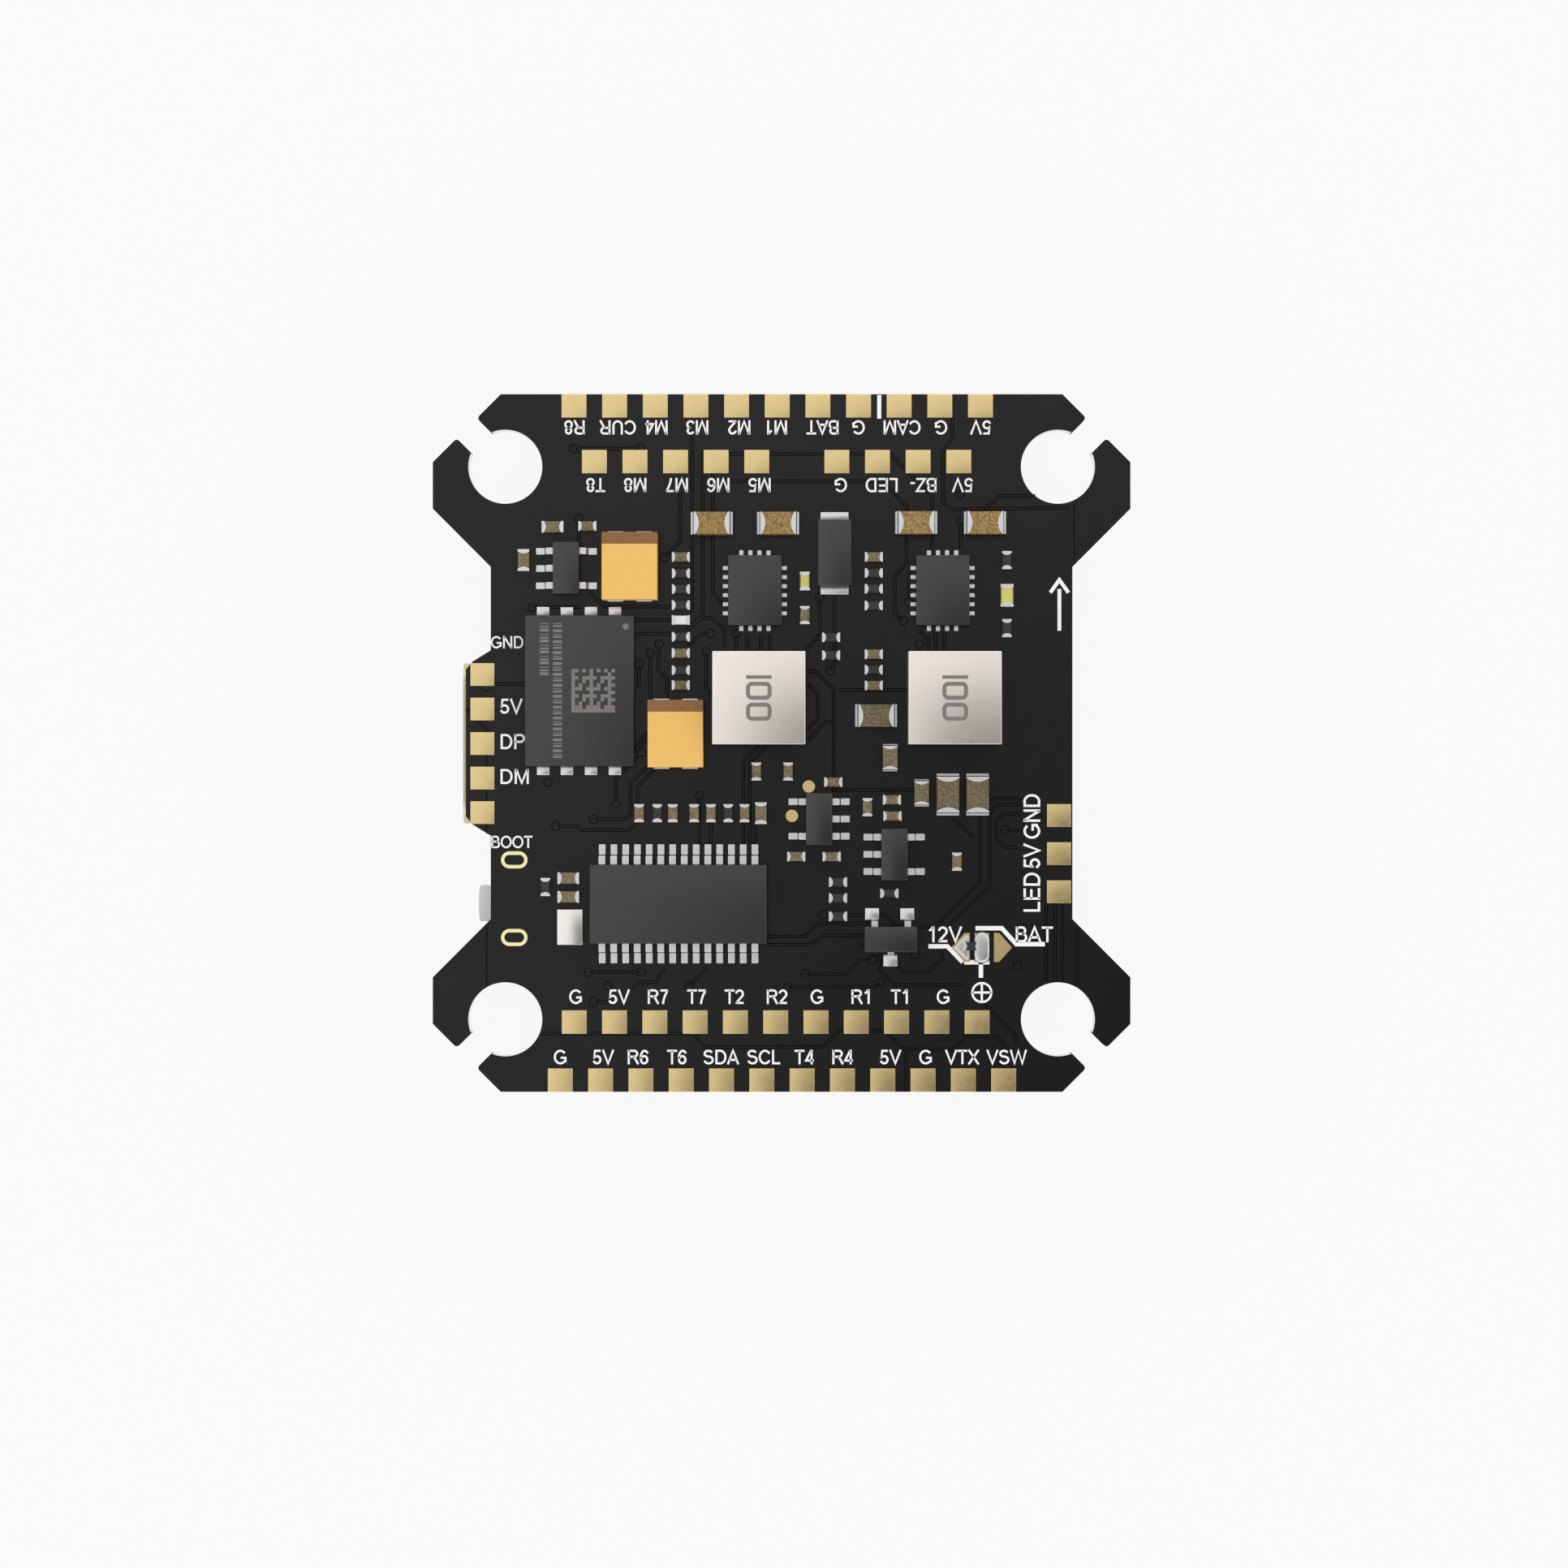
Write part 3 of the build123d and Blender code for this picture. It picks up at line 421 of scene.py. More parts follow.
# Painted shade, laid on the bends of leads and in the seams of chip ends
SHADE_PAINT_AT_BENDS = painted_shade_for_bends()
LEDGE_SOLDER = ledge_solder()
INDUCTOR_FLANK = inductor_flank()
# Painted shade for the flanks of copper tracks and vias and the gaps in the copper
PAINTED_TRACK_SHADE = track_shade_paint()
PALE_GOLD = pale_gold()
LASER_MARK = laser_mark()
INDUCTOR_MARK = inductor_mark()
TANTALUM_BAND = tantalum_band()
GOLDEN_CERAMIC = ceramic("golden_capacitor_ceramic", (0.29, 0.185, 0.06), 0.075)
SMALL_CERAMIC = ceramic("small_capacitor_ceramic", (0.185, 0.146, 0.08), 0.06)
INK = silkscreen()


# ---- Mesh helpers ---------------------------------------------------------------------------
def new_piece(name, mesh, looks, body=BOARD_BODY, smooth=False):
    """Turn a finished bmesh in millimetres into a piece that rides on a body, smoothly shaded if asked."""
    bmesh.ops.scale(mesh, vec=(MM, MM, MM), verts=mesh.verts)
    bmesh.ops.recalc_face_normals(mesh, faces=mesh.faces)
    data = bpy.data.meshes.new(name)
    mesh.to_mesh(data)
    mesh.free()
    for look in looks:
        data.materials.append(look.data)
    if smooth:
        data.shade_smooth()
    piece = bpy.data.objects.new(name, data)
    bpy.context.scene.collection.objects.link(piece)
    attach(piece, body)
    return piece


def solid_boxes(node):
    """The (low, high) corners in millimetres of each separate solid in a CAD node."""
    data = frame["nodes"][node].data
    keys = [tuple(round(c * 1e6) for c in vertex.co) for vertex in data.vertices]
    parent = {key: key for key in keys}

    def root(key):
        while parent[key] != key:
            parent[key] = parent[parent[key]]
            key = parent[key]
        return key

    for polygon in data.polygons:
        first = root(keys[polygon.vertices[0]])
        for index in polygon.vertices[1:]:
            parent[root(keys[index])] = first
    groups = {}
    for vertex, key in zip(data.vertices, keys):
        groups.setdefault(root(key), []).append(vertex.co / MM)
    boxes = []
    for points in groups.values():
        low = Vector(min(p[axis] for p in points) for axis in range(3))
        high = Vector(max(p[axis] for p in points) for axis in range(3))
        boxes.append((low, high))
    return sorted(boxes, key=lambda box: (round(box[0].x, 3), round(box[0].y, 3)))


def round_edges(piece, width, sharpness):
    """Round every edge of a piece whose faces meet more sharply than an angle."""
    bevel = piece.modifiers.new("bevel", "BEVEL")
    bevel.width = width * MM
    bevel.segments = 2
    bevel.limit_method = "ANGLE"
    bevel.angle_limit = sharpness
    bevel.harden_normals = True


def pour(mesh, target):
    """Add one mesh's shapes to another and discard it."""
    data = bpy.data.meshes.new("poured")
    mesh.to_mesh(data)
    mesh.free()
    target.from_mesh(data)
    bpy.data.meshes.remove(data)


def ring_outline(half_x, half_y, corner):
    """Points around a rectangle with rounded corners."""
    points, steps = [], 8
    for turn, (sx, sy) in enumerate(((1, 1), (-1, 1), (-1, -1), (1, -1))):
        for step in range(steps + 1):
            angle = math.radians(90) * (turn + step / steps)
            x = sx * (half_x - corner) + corner * math.cos(angle)
            y = sy * (half_y - corner) + corner * math.sin(angle)
            points.append((x, y))
    return points


def bridge(mesh, first, second, look=0):
    """Join two closed loops of the same length with a band of faces."""
    for index in range(len(first)):
        after = (index + 1) % len(first)
        face = mesh.faces.new((first[index], first[after], second[after], second[index]))
        face.material_index = look


def dome_drop(x, y, half_x, half_y, crown):
    """How far a domed top has fallen at a place measured from its centre."""
    return crown * ((x / half_x) ** 2 + (y / half_y) ** 2) / 2


SUPPORT = 0.6                # how far inside a rounded edge its support line runs, as a share of the radius


def grid_lines(half, radius, inner):
    """Places across a block: close together over its rounded edges and even between them."""
    edge = [half - radius + radius * share for share in (-SUPPORT, 0, 0.5, 0.8, 0.95, 1)]
    flat = half - radius
    middle = [flat * (2 * step / inner - 1) for step in range(1, inner)]
    return [-place for place in reversed(edge)] + middle + edge


MARK_ROOM = 0.008            # how far a moulded top stays below its CAD height, so that marks fit on it


def pillow(mesh, low, high, up=1, radius=0.03, crown=0.03, inner=6):
    """A block with rounded upright corners, rounded upper edges and a slightly domed top.

    up is 1 where the block stands on the board and -1 where it hangs below it.
    """
    centre = (low + high) / 2
    half_x, half_y = (high.x - low.x) / 2, (high.y - low.y) / 2
    base, top = (low.z, high.z) if up > 0 else (high.z, low.z)

    def surface(x, y):
        out_x = max(0.0, (abs(x) - (half_x - radius)) / radius)
        out_y = max(0.0, (abs(y) - (half_y - radius)) / radius)
        round_x, round_y = out_x * math.sqrt(1 - out_y**2 / 2), out_y * math.sqrt(1 - out_x**2 / 2)
        out = min(1.0, math.hypot(round_x, round_y))
        x = math.copysign(half_x - radius + round_x * radius, x) if out_x else x
        y = math.copysign(half_y - radius + round_y * radius, y) if out_y else y
        sink = MARK_ROOM + radius * (1 - math.sqrt(1 - out**2)) + dome_drop(x, y, half_x, half_y, crown)
        return mesh.verts.new((centre.x + x, centre.y + y, top - up * sink))

    xs, ys = grid_lines(half_x, radius, inner), grid_lines(half_y, radius, inner)
    rows = [[surface(x, y) for x in xs] for y in ys]
    for first, second in zip(rows, rows[1:]):
        for index in range(len(xs) - 1):
            mesh.faces.new((first[index], first[index + 1], second[index + 1], second[index]))
    rim = rows[0] + [row[-1] for row in rows[1:-1]] + rows[-1][::-1] + [row[0] for row in rows[-2:0:-1]]
    foot = [mesh.verts.new((vert.co.x, vert.co.y, base)) for vert in rim]
    bridge(mesh, foot, rim)
    mesh.faces.new(foot)


def drape(mesh, low, high, crown):
    """Lower a flat mark onto the domed top of the block between two corners."""
    centre = (low + high) / 2
    half_x, half_y = (high.x - low.x) / 2, (high.y - low.y) / 2
    for vert in mesh.verts:
        vert.co.z -= dome_drop(vert.co.x - centre.x, vert.co.y - centre.y, half_x, half_y, crown)


def rebuild(node, looks, pick=None, **shape):
    """Stand rounded, slightly domed blocks for every solid of a CAD node, in its exact boxes.

    pick chooses a block's look by its place, as an index into the looks.
    """
    mesh = bmesh.new()
    for low, high in solid_boxes(node):
        faces_before = len(mesh.faces)
        centre = (low + high) / 2
        pillow(mesh, low, high, 1 if centre.z > (TOP + UNDER) / 2 else -1, **shape)
        mesh.faces.ensure_lookup_table()
        for face in mesh.faces[faces_before:]:
            face.material_index = pick(centre) if pick else 0
    piece = new_piece(node + "_moulded", mesh, looks, smooth=True)
    piece.data.set_sharp_from_angle(angle=CREASE)
    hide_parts(node)
    return piece


def offset_lines(points, reach):
    """The points of a line moved sideways, with mitred corners; a line may end where it starts."""
    closed = (Vector(points[0]) - Vector(points[-1])).length < 1e-6
    moved = []
    for index, point in enumerate(points):
        before = points[index - 1] if index else points[-2 if closed else 0]
        after = points[index + 1] if index + 1 < len(points) else points[1 if closed else -1]
        ahead = Vector((after[0] - point[0], after[1] - point[1]))
        behind = Vector((point[0] - before[0], point[1] - before[1]))
        ahead = ahead.normalized() if ahead.length > 1e-9 else behind.normalized()
        behind = behind.normalized() if behind.length > 1e-9 else ahead
        along = (ahead + behind).normalized()
        side = Vector((-along.y, along.x))
        stretch = 1 / max(0.5, along.dot(ahead))
        moved.append((point[0] + side.x * reach * stretch, point[1] + side.y * reach * stretch))
    return moved


def ribbon(mesh, points, width, base, height, flank=0.0):
    """A raised strip along a line; its sloping flanks take the second material."""
    outer = width / 2 + flank
    rows = [
        [(x, y, base) for x, y in offset_lines(points, outer)],
        [(x, y, base + height) for x, y in offset_lines(points, width / 2)],
        [(x, y, base + height) for x, y in offset_lines(points, -width / 2)],
        [(x, y, base) for x, y in offset_lines(points, -outer)],
    ]
    verts = [[mesh.verts.new(p) for p in row] for row in rows]
    for strip in range(3):
        for index in range(len(points) - 1):
            face = mesh.faces.new(
                (
                    verts[strip][index],
                    verts[strip][index + 1],
                    verts[strip + 1][index + 1],
                    verts[strip + 1][index],
                )
            )
            face.material_index = 0 if strip == 1 else 1
    for index in (0, len(points) - 1):
        face = mesh.faces.new([row[index] for row in verts])
        face.material_index = 1


def disc(mesh, x, y, radius, base, height, flank=0.0, dimple=0.0):
    """A raised disc with sloping flanks and, if asked, a dimple at its centre."""
    direction = math.copysign(1, height)
    steps = 24
    profile = [(radius + flank, base), (radius, base + height)]
    if dimple:
        profile += [(radius * 0.55, base + height), (radius * 0.3, base + height - direction * dimple)]
    loops = []
    for reach, z in profile:
        angles = [2 * math.pi * step / steps for step in range(steps)]
        loops.append([mesh.verts.new((x + reach * math.cos(a), y + reach * math.sin(a), z)) for a in angles])
    for level, (outer, inner) in enumerate(zip(loops, loops[1:])):
        bridge(mesh, outer, inner, 1 if level == 0 else 0)
    mesh.faces.new(loops[-1])


def box(mesh, x_range, y_range, z_range, look=0):
    """A plain block between two values on each axis."""
    corners = [mesh.verts.new((x, y, z)) for x in x_range for y in y_range for z in z_range]
    for indices in ((0, 1, 3, 2), (4, 6, 7, 5), (0, 4, 5, 1), (2, 3, 7, 6), (0, 2, 6, 4), (1, 5, 7, 3)):
        mesh.faces.new([corners[i] for i in indices]).material_index = look


def frame_ring(mesh, centre, half_x, half_y, corner, stroke, base, height):
    """A flat rounded frame, such as a zero."""
    outer = ring_outline(half_x, half_y, corner)
    inner = ring_outline(half_x - stroke, half_y - stroke, max(corner - stroke, 0.02))
    layers = []
    for outline in (outer, inner):
        for z in (base, base + height):
            layers.append([mesh.verts.new((centre[0] + x, centre[1] + y, z)) for x, y in outline])
    outer_low, outer_high, inner_low, inner_high = layers
    for first, second in (
        (outer_low, outer_high),
        (outer_high, inner_high),
        (inner_high, inner_low),
        (inner_low, outer_low),
    ):
        bridge(mesh, first, second)


def arc(x, y, reach_x, reach_y, start, end, steps=10):
    """Points along part of an ellipse, from one angle to another in degrees."""
    angles = [math.radians(start + (end - start) * step / steps) for step in range(steps + 1)]
    return [(x + reach_x * math.cos(a), y + reach_y * math.sin(a)) for a in angles]


STROKE = 0.142               # line weight of the legend, as a share of the capital height
LO, HI = STROKE / 2, 1 - STROKE / 2
MID = 0.53
STEM = 0.16
UPRIGHT = [(STEM, 0), (STEM, 1)]
# Each letter is its advance width and its strokes, drawn for a capital height of one
LETTERS = {
    "1": (0.74, [[(0.14, 0.73), (0.28, 0.81), (0.40, 0.97)], [(0.44, 0), (0.44, 1)]]),
    "2": (0.78, [arc(0.36, 0.69, 0.27, 0.245, 172, -38) + [(0.12, LO + 0.02)], [(0.06, LO), (0.68, LO)]]),
    "3": (0.78, [arc(0.35, 0.73, 0.24, 0.205, 160, -90), arc(0.35, 0.295, 0.27, 0.23, 90, -160)]),
    "4": (0.78, [[(0.71, 0.26), (0.09, 0.26), (0.48, 0.93)], [(0.53, 0), (0.53, 1)]]),
    "5": (0.78, [[(0.65, HI), (0.21, HI), (0.14, 0.47)] + arc(0.36, 0.315, 0.28, 0.25, 130, -162)]),
    "6": (0.78, [arc(0.38, 0.315, 0.255, 0.25, 180, -180, 18), arc(0.42, 0.5, 0.3, 0.435, 195, 35)]),
    "7": (0.78, [[(0.07, HI), (0.66, HI)], [(0.63, 0.9), (0.44, 0.58), (0.33, 0.28), (0.28, 0)]]),
    "8": (0.78, [arc(0.38, 0.735, 0.22, 0.2, 0, 360, 16), arc(0.38, 0.3, 0.265, 0.235, 0, 360, 18)]),
    "A": (0.93, [[(0.05, 0), (0.465, 0.96), (0.88, 0)], [(0.19, 0.31), (0.74, 0.31)]]),
    "B": (
        0.93,
        [
            UPRIGHT,
            [(STEM, HI)] + arc(0.52, 0.735, 0.22, 0.2, 90, -90) + [(STEM, MID)],
            [(0.52, MID)] + arc(0.55, 0.3, 0.26, 0.235, 90, -90) + [(STEM, LO)],
        ],
    ),
    "C": (1.01, [arc(0.53, 0.5, 0.42, 0.435, 32, 328, 22)]),
    "D": (1.01, [[(STEM, LO), (STEM, HI)] + arc(0.47, 0.5, 0.4, 0.435, 90, -90, 14) + [(STEM, LO)]]),
    "E": (0.93, [UPRIGHT, [(STEM, HI), (0.83, HI)], [(STEM, MID), (0.78, MID)], [(STEM, LO), (0.86, LO)]]),
    "G": (1.09, [arc(0.55, 0.5, 0.44, 0.435, 38, 318, 22) + [(0.95, 0.21), (0.95, 0.45), (0.58, 0.45)]]),
    "L": (0.79, [[(STEM, 1), (STEM, LO), (0.73, LO)]]),
    "M": (1.17, [UPRIGHT, [(0.2, 0.97), (0.585, 0.07), (0.97, 0.97)], [(1.01, 0), (1.01, 1)]]),
    "N": (1.0, [UPRIGHT, [(0.19, 0.95), (0.81, 0.05)], [(0.84, 0), (0.84, 1)]]),
    "O": (1.09, [arc(0.545, 0.5, 0.435, 0.435, 0, 360, 26)]),
    "P": (0.93, [UPRIGHT, [(STEM, HI)] + arc(0.55, 0.71, 0.25, 0.225, 90, -90) + [(STEM, 0.485)]]),
    "R": (
        1.0,
        [
            UPRIGHT,
            [(STEM, HI)] + arc(0.58, 0.73, 0.25, 0.205, 90, -90) + [(STEM, 0.525)],
            [(0.5, 0.51), (0.66, 0.41), (0.91, 0)],
        ],
    ),
    "S": (
        0.93,
        [
            arc(0.45, 0.735, 0.3, 0.2, 22, 250)
            + arc(0.47, 0.3, 0.33, 0.235, 75, -168, 14),
        ],
    ),
    "T": (0.85, [[(0.03, HI), (0.82, HI)], [(0.425, 0), (0.425, HI)]]),
    "U": (1.0, [[(STEM, 1)] + arc(0.5, 0.38, 0.34, 0.315, 180, 360, 14) + [(0.84, 1)]]),
    "V": (0.93, [[(0.05, 1), (0.465, 0.05), (0.88, 1)]]),
    "W": (1.32, [[(0.05, 1), (0.355, 0.05), (0.66, 0.95), (0.965, 0.05), (1.27, 1)]]),
    "X": (0.93, [[(0.07, 0), (0.86, 1)], [(0.07, 1), (0.86, 0)]]),
    "Z": (0.85, [[(0.08, HI), (0.75, HI), (0.09, LO), (0.78, LO)]]),
    "-": (0.46, [[(0.05, 0.36), (0.41, 0.36)]]),
}
LETTER_WIDTH = 0.87          # the legend's letters are slightly condensed


def lettering(mesh, text, centre, cap_height, width, turn, base, height, mirror=1):
    """Letters of even line weight, centred on a point, in a given capital height.

    width stretches or squeezes the text to fit, and mirror is -1 for text on the underside.
    """
    strokes, pen = [], 0.0
    for letter in text:
        advance, lines = LETTERS[letter]
        strokes += [[(pen + x, y) for x, y in line] for line in lines]
        pen += advance
    xs = [x for line in strokes for x, _ in line]
    left, right = min(xs), max(xs)
    drawn_width = (width / cap_height - STROKE * 0.6) / (right - left) if width else LETTER_WIDTH
    spin = Matrix.Rotation(math.radians(turn), 2)
    for line in strokes:
        points = []
        for x, y in line:
            flat = Vector(((x - (left + right) / 2) * drawn_width * mirror, y - 0.5)) * cap_height
            points.append(spin @ flat + Vector(centre))
        ribbon(mesh, points, STROKE * cap_height, base, height)


# ---- Copper tracks under the mask -----------------------------------------------------------
TRACK_WIDTH = 0.085
TRACK_FLANK_WIDTH = 0.05
TRACK_HEIGHT = 0.012
VIA_RADIUS = 0.21

TOP_TRACKS = [
    [(-11.45, 16.25), (-7.78, 16.25)],
    [(-2.9, 15.95), (4.6, 15.95), (6.05, 15.9), (8.3, 13.6), (8.3, 10.7)],
    [(-2.85, 14.45), (5.5, 14.45), (6.9, 13.1), (6.9, 9.9), (6.25, 9.25), (6.25, 7.1), (6.7, 6.75)],
    [(-5.6, 13.9), (-5.6, 11.15), (-6.45, 10.25)],
    [(-4.93, 17.0), (-4.93, 7.2)],
    [(-4.35, 16.1), (-4.35, 7.1), (-5.2, 6.3)],
    [(-3.8, 14.9), (-3.8, 8.3), (-3.3, 7.7)],
    [(-5.2, 6.2), (-4.4, 6.9), (-3.9, 6.9), (-3.15, 6.3), (-3.15, 5.1)],
    [(-5.2, 5.3), (-4.5, 6.0), (-3.95, 6.05)],
    [(-4.15, 5.03), (-4.17, 3.05), (-3.85, 2.6)],
    [(-2.5, 6.03), (-2.5, 5.1)],
    [(-1.9, 6.0), (-1.9, 5.1)],
    [(-1.15, 6.0), (-1.15, 5.1)],
    [(-0.65, 6.0), (-0.65, 5.1)],
    [(-6.75, 5.45), (-6.8, 4.05), (-6.32, 3.5), (-6.32, 2.45)],
    [(-7.25, 4.95), (-7.25, 2.45)],
    [(-7.87, 4.33), (-7.87, 3.05)],
    [(-8.15, 6.78), (-6.05, 6.78)],
    [(-8.15, 6.04), (-6.05, 6.04)],
    [(-10.75, 8.5), (-9.75, 7.52), (-6.05, 7.52)],
    [(-13.75, 7.5), (-11.05, 7.5)],
    [(-15.9, 3.25), (-14.1, 3.25)],
    [(-17.4, 1.9), (-16.15, 0.6)],
    [(-11.2, 12.4), (-11.2, 11.04)],
    [(2.1, 8.05), (2.12, 6.0), (1.3, 5.1)],
    [(2.93, 8.15), (2.93, 4.4), (2.68, 3.98)],
    [(1.4, 3.97), (1.85, 3.97), (2.87, 2.98), (2.87, -2.6), (7.3, -2.6)],
    [(1.45, 3.25), (1.98, 2.75), (1.98, 1.3), (1.4, 0.7)],
    [(2.78, 1.18), (2.4, 1.15), (1.4, 0.1)],
    [(3.15, 2.93), (7.0, 2.93)],
    [(7.55, 6.2), (8.1, 5.7), (8.1, 5.1)],
    [(8.5, 6.1), (8.5, 5.1)],
    [(8.99, 6.1), (8.99, 5.1)],
    [(9.42, 18.0), (9.42, 16.9), (8.9, 16.1), (8.9, 13.3), (9.35, 12.88), (11.4, 12.92), (15.9, 12.98)],
    [(9.88, 12.25), (9.88, 10.7)],
    [(-12.45, -4.58), (-11.3, -4.58), (-11.1, -4.8), (-8.45, -4.8), (-7.95, -4.4)],
    [(-10.37, -4.2), (-8.75, -4.22), (-8.33, -3.9), (-8.33, -2.2), (-7.3, -1.2)],
    [(-9.15, -3.35), (-9.15, -2.0), (-7.85, -0.68)],
    [(-7.4, 0.55), (-8.2, -0.2)],
    [(-7.4, 0.2), (-8.2, -0.55)],
    [(-7.95, -3.4), (-7.95, -2.4), (-7.0, -1.45)],
    [(-4.53, -2.9), (-4.53, -5.6)],
    [(-3.9, -4.4), (-3.9, -5.6)],
    [(-1.2, -0.1), (-2.1, -1.0), (-2.1, -5.6)],
    [(-0.75, -0.1), (-1.75, -1.1), (-1.75, -5.6)],
    [(-1.45, -4.4), (-1.45, -5.6)],
    [(10.95, -4.0), (10.95, -7.65), (8.6, -10.0)],
    [(11.48, -4.0), (11.48, -7.9), (9.3, -10.0)],
    [(11.2, -3.95), (11.2, -3.6), (11.75, -3.05), (13.4, -3.05)],
    [(11.55, -3.95), (11.55, -3.75), (11.95, -3.4), (13.4, -3.4)],
    [(13.2, -3.9), (12.25, -3.9), (11.85, -4.3), (11.85, -5.25), (12.3, -5.75), (13.0, -5.75)],
    [(12.35, -4.8), (13.2, -4.8)],
    [(9.4, -4.1), (10.6, -5.2)],
    [(11.2, 12.9), (12.0, 13.64), (14.0, 13.64)],
    [(14.6, -8.9), (14.6, -13.12)],
    [(15.1, -8.9), (15.1, -13.12)],
    [(15.5, -8.9), (15.5, -13.12)],
    [(16.3, -10.2), (16.3, -13.4)],
    [(-10.65, -12.65), (-7.75, -12.65)],
    [(-6.47, -12.4), (-6.95, -13.2), (-7.9, -13.2), (-8.4, -13.7)],
    [(-5.1, -13.4), (-4.1, -12.4)],
    [(-10.38, -14.28), (-9.6, -14.28)],
    [(1.32, -12.75), (3.55, -12.75), (4.3, -11.95), (5.0, -11.95)],
    [(0.35, -13.45), (5.2, -13.45), (5.45, -13.2)],
    [(-0.8, -10.68), (1.3, -10.68), (1.97, -9.96), (4.85, -9.96)],
    [(-0.85, -11.13), (1.7, -11.13), (2.22, -10.62), (4.58, -10.62)],
    [(4.28, -11.24), (4.6, -11.24)],
    [(5.42, -11.6), (5.42, -12.55), (6.3, -13.35), (10.1, -13.35)],
    [(6.4, -12.35), (6.7, -12.62), (8.1, -12.62), (8.85, -11.9), (8.85, -11.5)],
    [
        (-13.2, -16.03),
        (-4.9, -16.03),
        (-4.2, -16.78),
        (2.25, -16.78),
        (3.2, -15.88),
        (5.7, -15.88),
        (6.75, -16.9),
        (9.5, -16.9),
        (10.1, -16.2),
        (11.9, -16.2),
        (12.4, -16.8),
    ],
    [(6.85, -16.95), (6.85, -19.2)],
    [(11.2, -14.4), (12.95, -16.15), (12.95, -16.6)],
    [(3.65, -9.5), (4.6, -9.5)],
    [(5.35, -9.48), (5.72, -9.48), (6.4, -10.15), (6.6, -10.15)],
    [(7.55, -10.16), (8.2, -10.16)],
    [(7.25, 9.45), (7.02, 9.3), (7.02, 7.95)],
]
TOP_VIAS = [
    (-16.35, 3.1), (-11.45, 16.25), (-6.45, 10.25), (6.7, 6.75), (-3.95, 6.05), (-4.15, 5.03),
    (-2.5, 6.03), (-6.75, 5.45), (-7.25, 4.95), (-7.87, 4.33), (-13.75, 7.5), (-11.2, 12.4),
    (2.1, 8.05), (2.68, 3.98), (7.62, 5.45), (9.85, 13.7), (9.88, 12.25), (-12.9, -2.17),
    (-12.45, -4.58), (-10.37, -4.2), (-9.15, -3.35), (-4.53, -2.9), (-10.65, -12.65),
    (-7.75, -12.63), (-9.6, -13.4), (-5.1, -13.4), (-10.38, -14.28), (1.32, -12.75), (5.0, -11.95),
    (0.35, -13.45), (5.45, -13.2), (2.27, -9.48), (13.0, -12.28), (12.35, -4.8), (-7.8, 16.3),
    (-7.72, -0.53), (7.32, -11.66), (7.02, 7.8),
]
# Single dark lines of painted shade where two areas of copper meet under the mask
COPPER_GAPS = [
    [(-16.28, -0.65), (-16.28, -5.0)],
    [(-16.28, -10.0), (-16.28, -13.5)],
    [(16.15, 13.2), (16.15, 10.2)],
]
UNDER_TRACKS = [
    [(-4.6, 6.5), (-4.6, 8.3), (-3.4, 9.5), (-3.4, 14.0)],
    [(-3.9, 6.6), (-3.9, 7.3), (-1.9, 9.3), (-1.9, 14.0)],
    [(-1.6, 6.6), (-1.6, 9.6), (-0.4, 10.8), (-0.4, 14.0)],
    [(0.9, 6.6), (0.9, 9.3), (1.1, 9.5), (1.1, 14.0)],
    [(2.6, 6.6), (2.6, 14.0)],
    [(4.6, 6.6), (5.3, 7.3), (5.3, 9.8), (4.1, 11.0), (4.1, 14.0)],
    [(6.8, 4.3), (7.7, 4.3), (8.7, 5.3)],
    [(6.8, 3.8), (7.9, 3.8), (8.9, 4.8)],
    [(6.8, 3.3), (9.1, 3.3), (10.0, 4.2)],
    [(6.8, -2.2), (9.0, -2.2), (10.4, -3.6), (10.4, -5.2)],
    [(6.8, -2.7), (7.9, -2.7), (9.3, -4.1), (9.3, -5.6)],
    [(11.6, -2.0), (11.6, 3.0), (12.9, 4.3)],
    [(12.3, -4.4), (12.3, 2.6), (13.5, 3.8), (13.5, 8.6)],
    [(-5.8, 3.9), (-6.6, 3.9), (-8.6, 5.9), (-8.6, 8.2)],
    [(-5.8, 3.3), (-9.2, 3.3), (-10.2, 4.3), (-10.2, 8.0)],
    [(-5.8, -0.5), (-8.9, -0.5), (-9.8, -0.5)],
    [(-5.8, 0.1), (-8.6, 0.1), (-9.8, 0.1)],
    [(-5.8, -3.6), (-7.0, -4.8), (-7.0, -6.4)],
    [(-5.8, -4.1), (-6.3, -4.6), (-6.3, -8.9), (-7.4, -10.0)],
    [(-3.5, -6.0), (-3.5, -9.2), (-2.5, -10.2), (-2.5, -14.0)],
    [(-2.1, -6.0), (-2.1, -9.1), (-1.5, -9.7), (-1.5, -14.0)],
    [(0.3, -6.0), (0.3, -9.2), (-0.5, -10.0), (-0.5, -14.0)],
    [(0.9, -6.0), (0.9, -14.0)],
    [(2.7, -6.0), (2.7, -9.3), (2.0, -10.0), (2.0, -14.0)],
    [(4.6, -6.0), (4.9, -6.3), (4.9, -9.9), (3.5, -11.3), (3.5, -14.0)],
    [(-11.0, -3.2), (-12.6, -4.8), (-12.6, -9.0), (-11.4, -10.2), (-7.6, -10.9), (-5.6, -12.9)],
    [(7.0, -9.6), (9.4, -12.0), (12.6, -12.0)],
    [(-13.6, 13.0), (-11.8, 13.0), (-10.6, 11.8)],
    [(8.0, 11.2), (9.9, 11.2), (11.0, 12.3), (13.0, 12.3)],
    [(14.9, -6.0), (14.9, 7.0)],
    [(15.4, -7.0), (15.4, 8.0)],
]
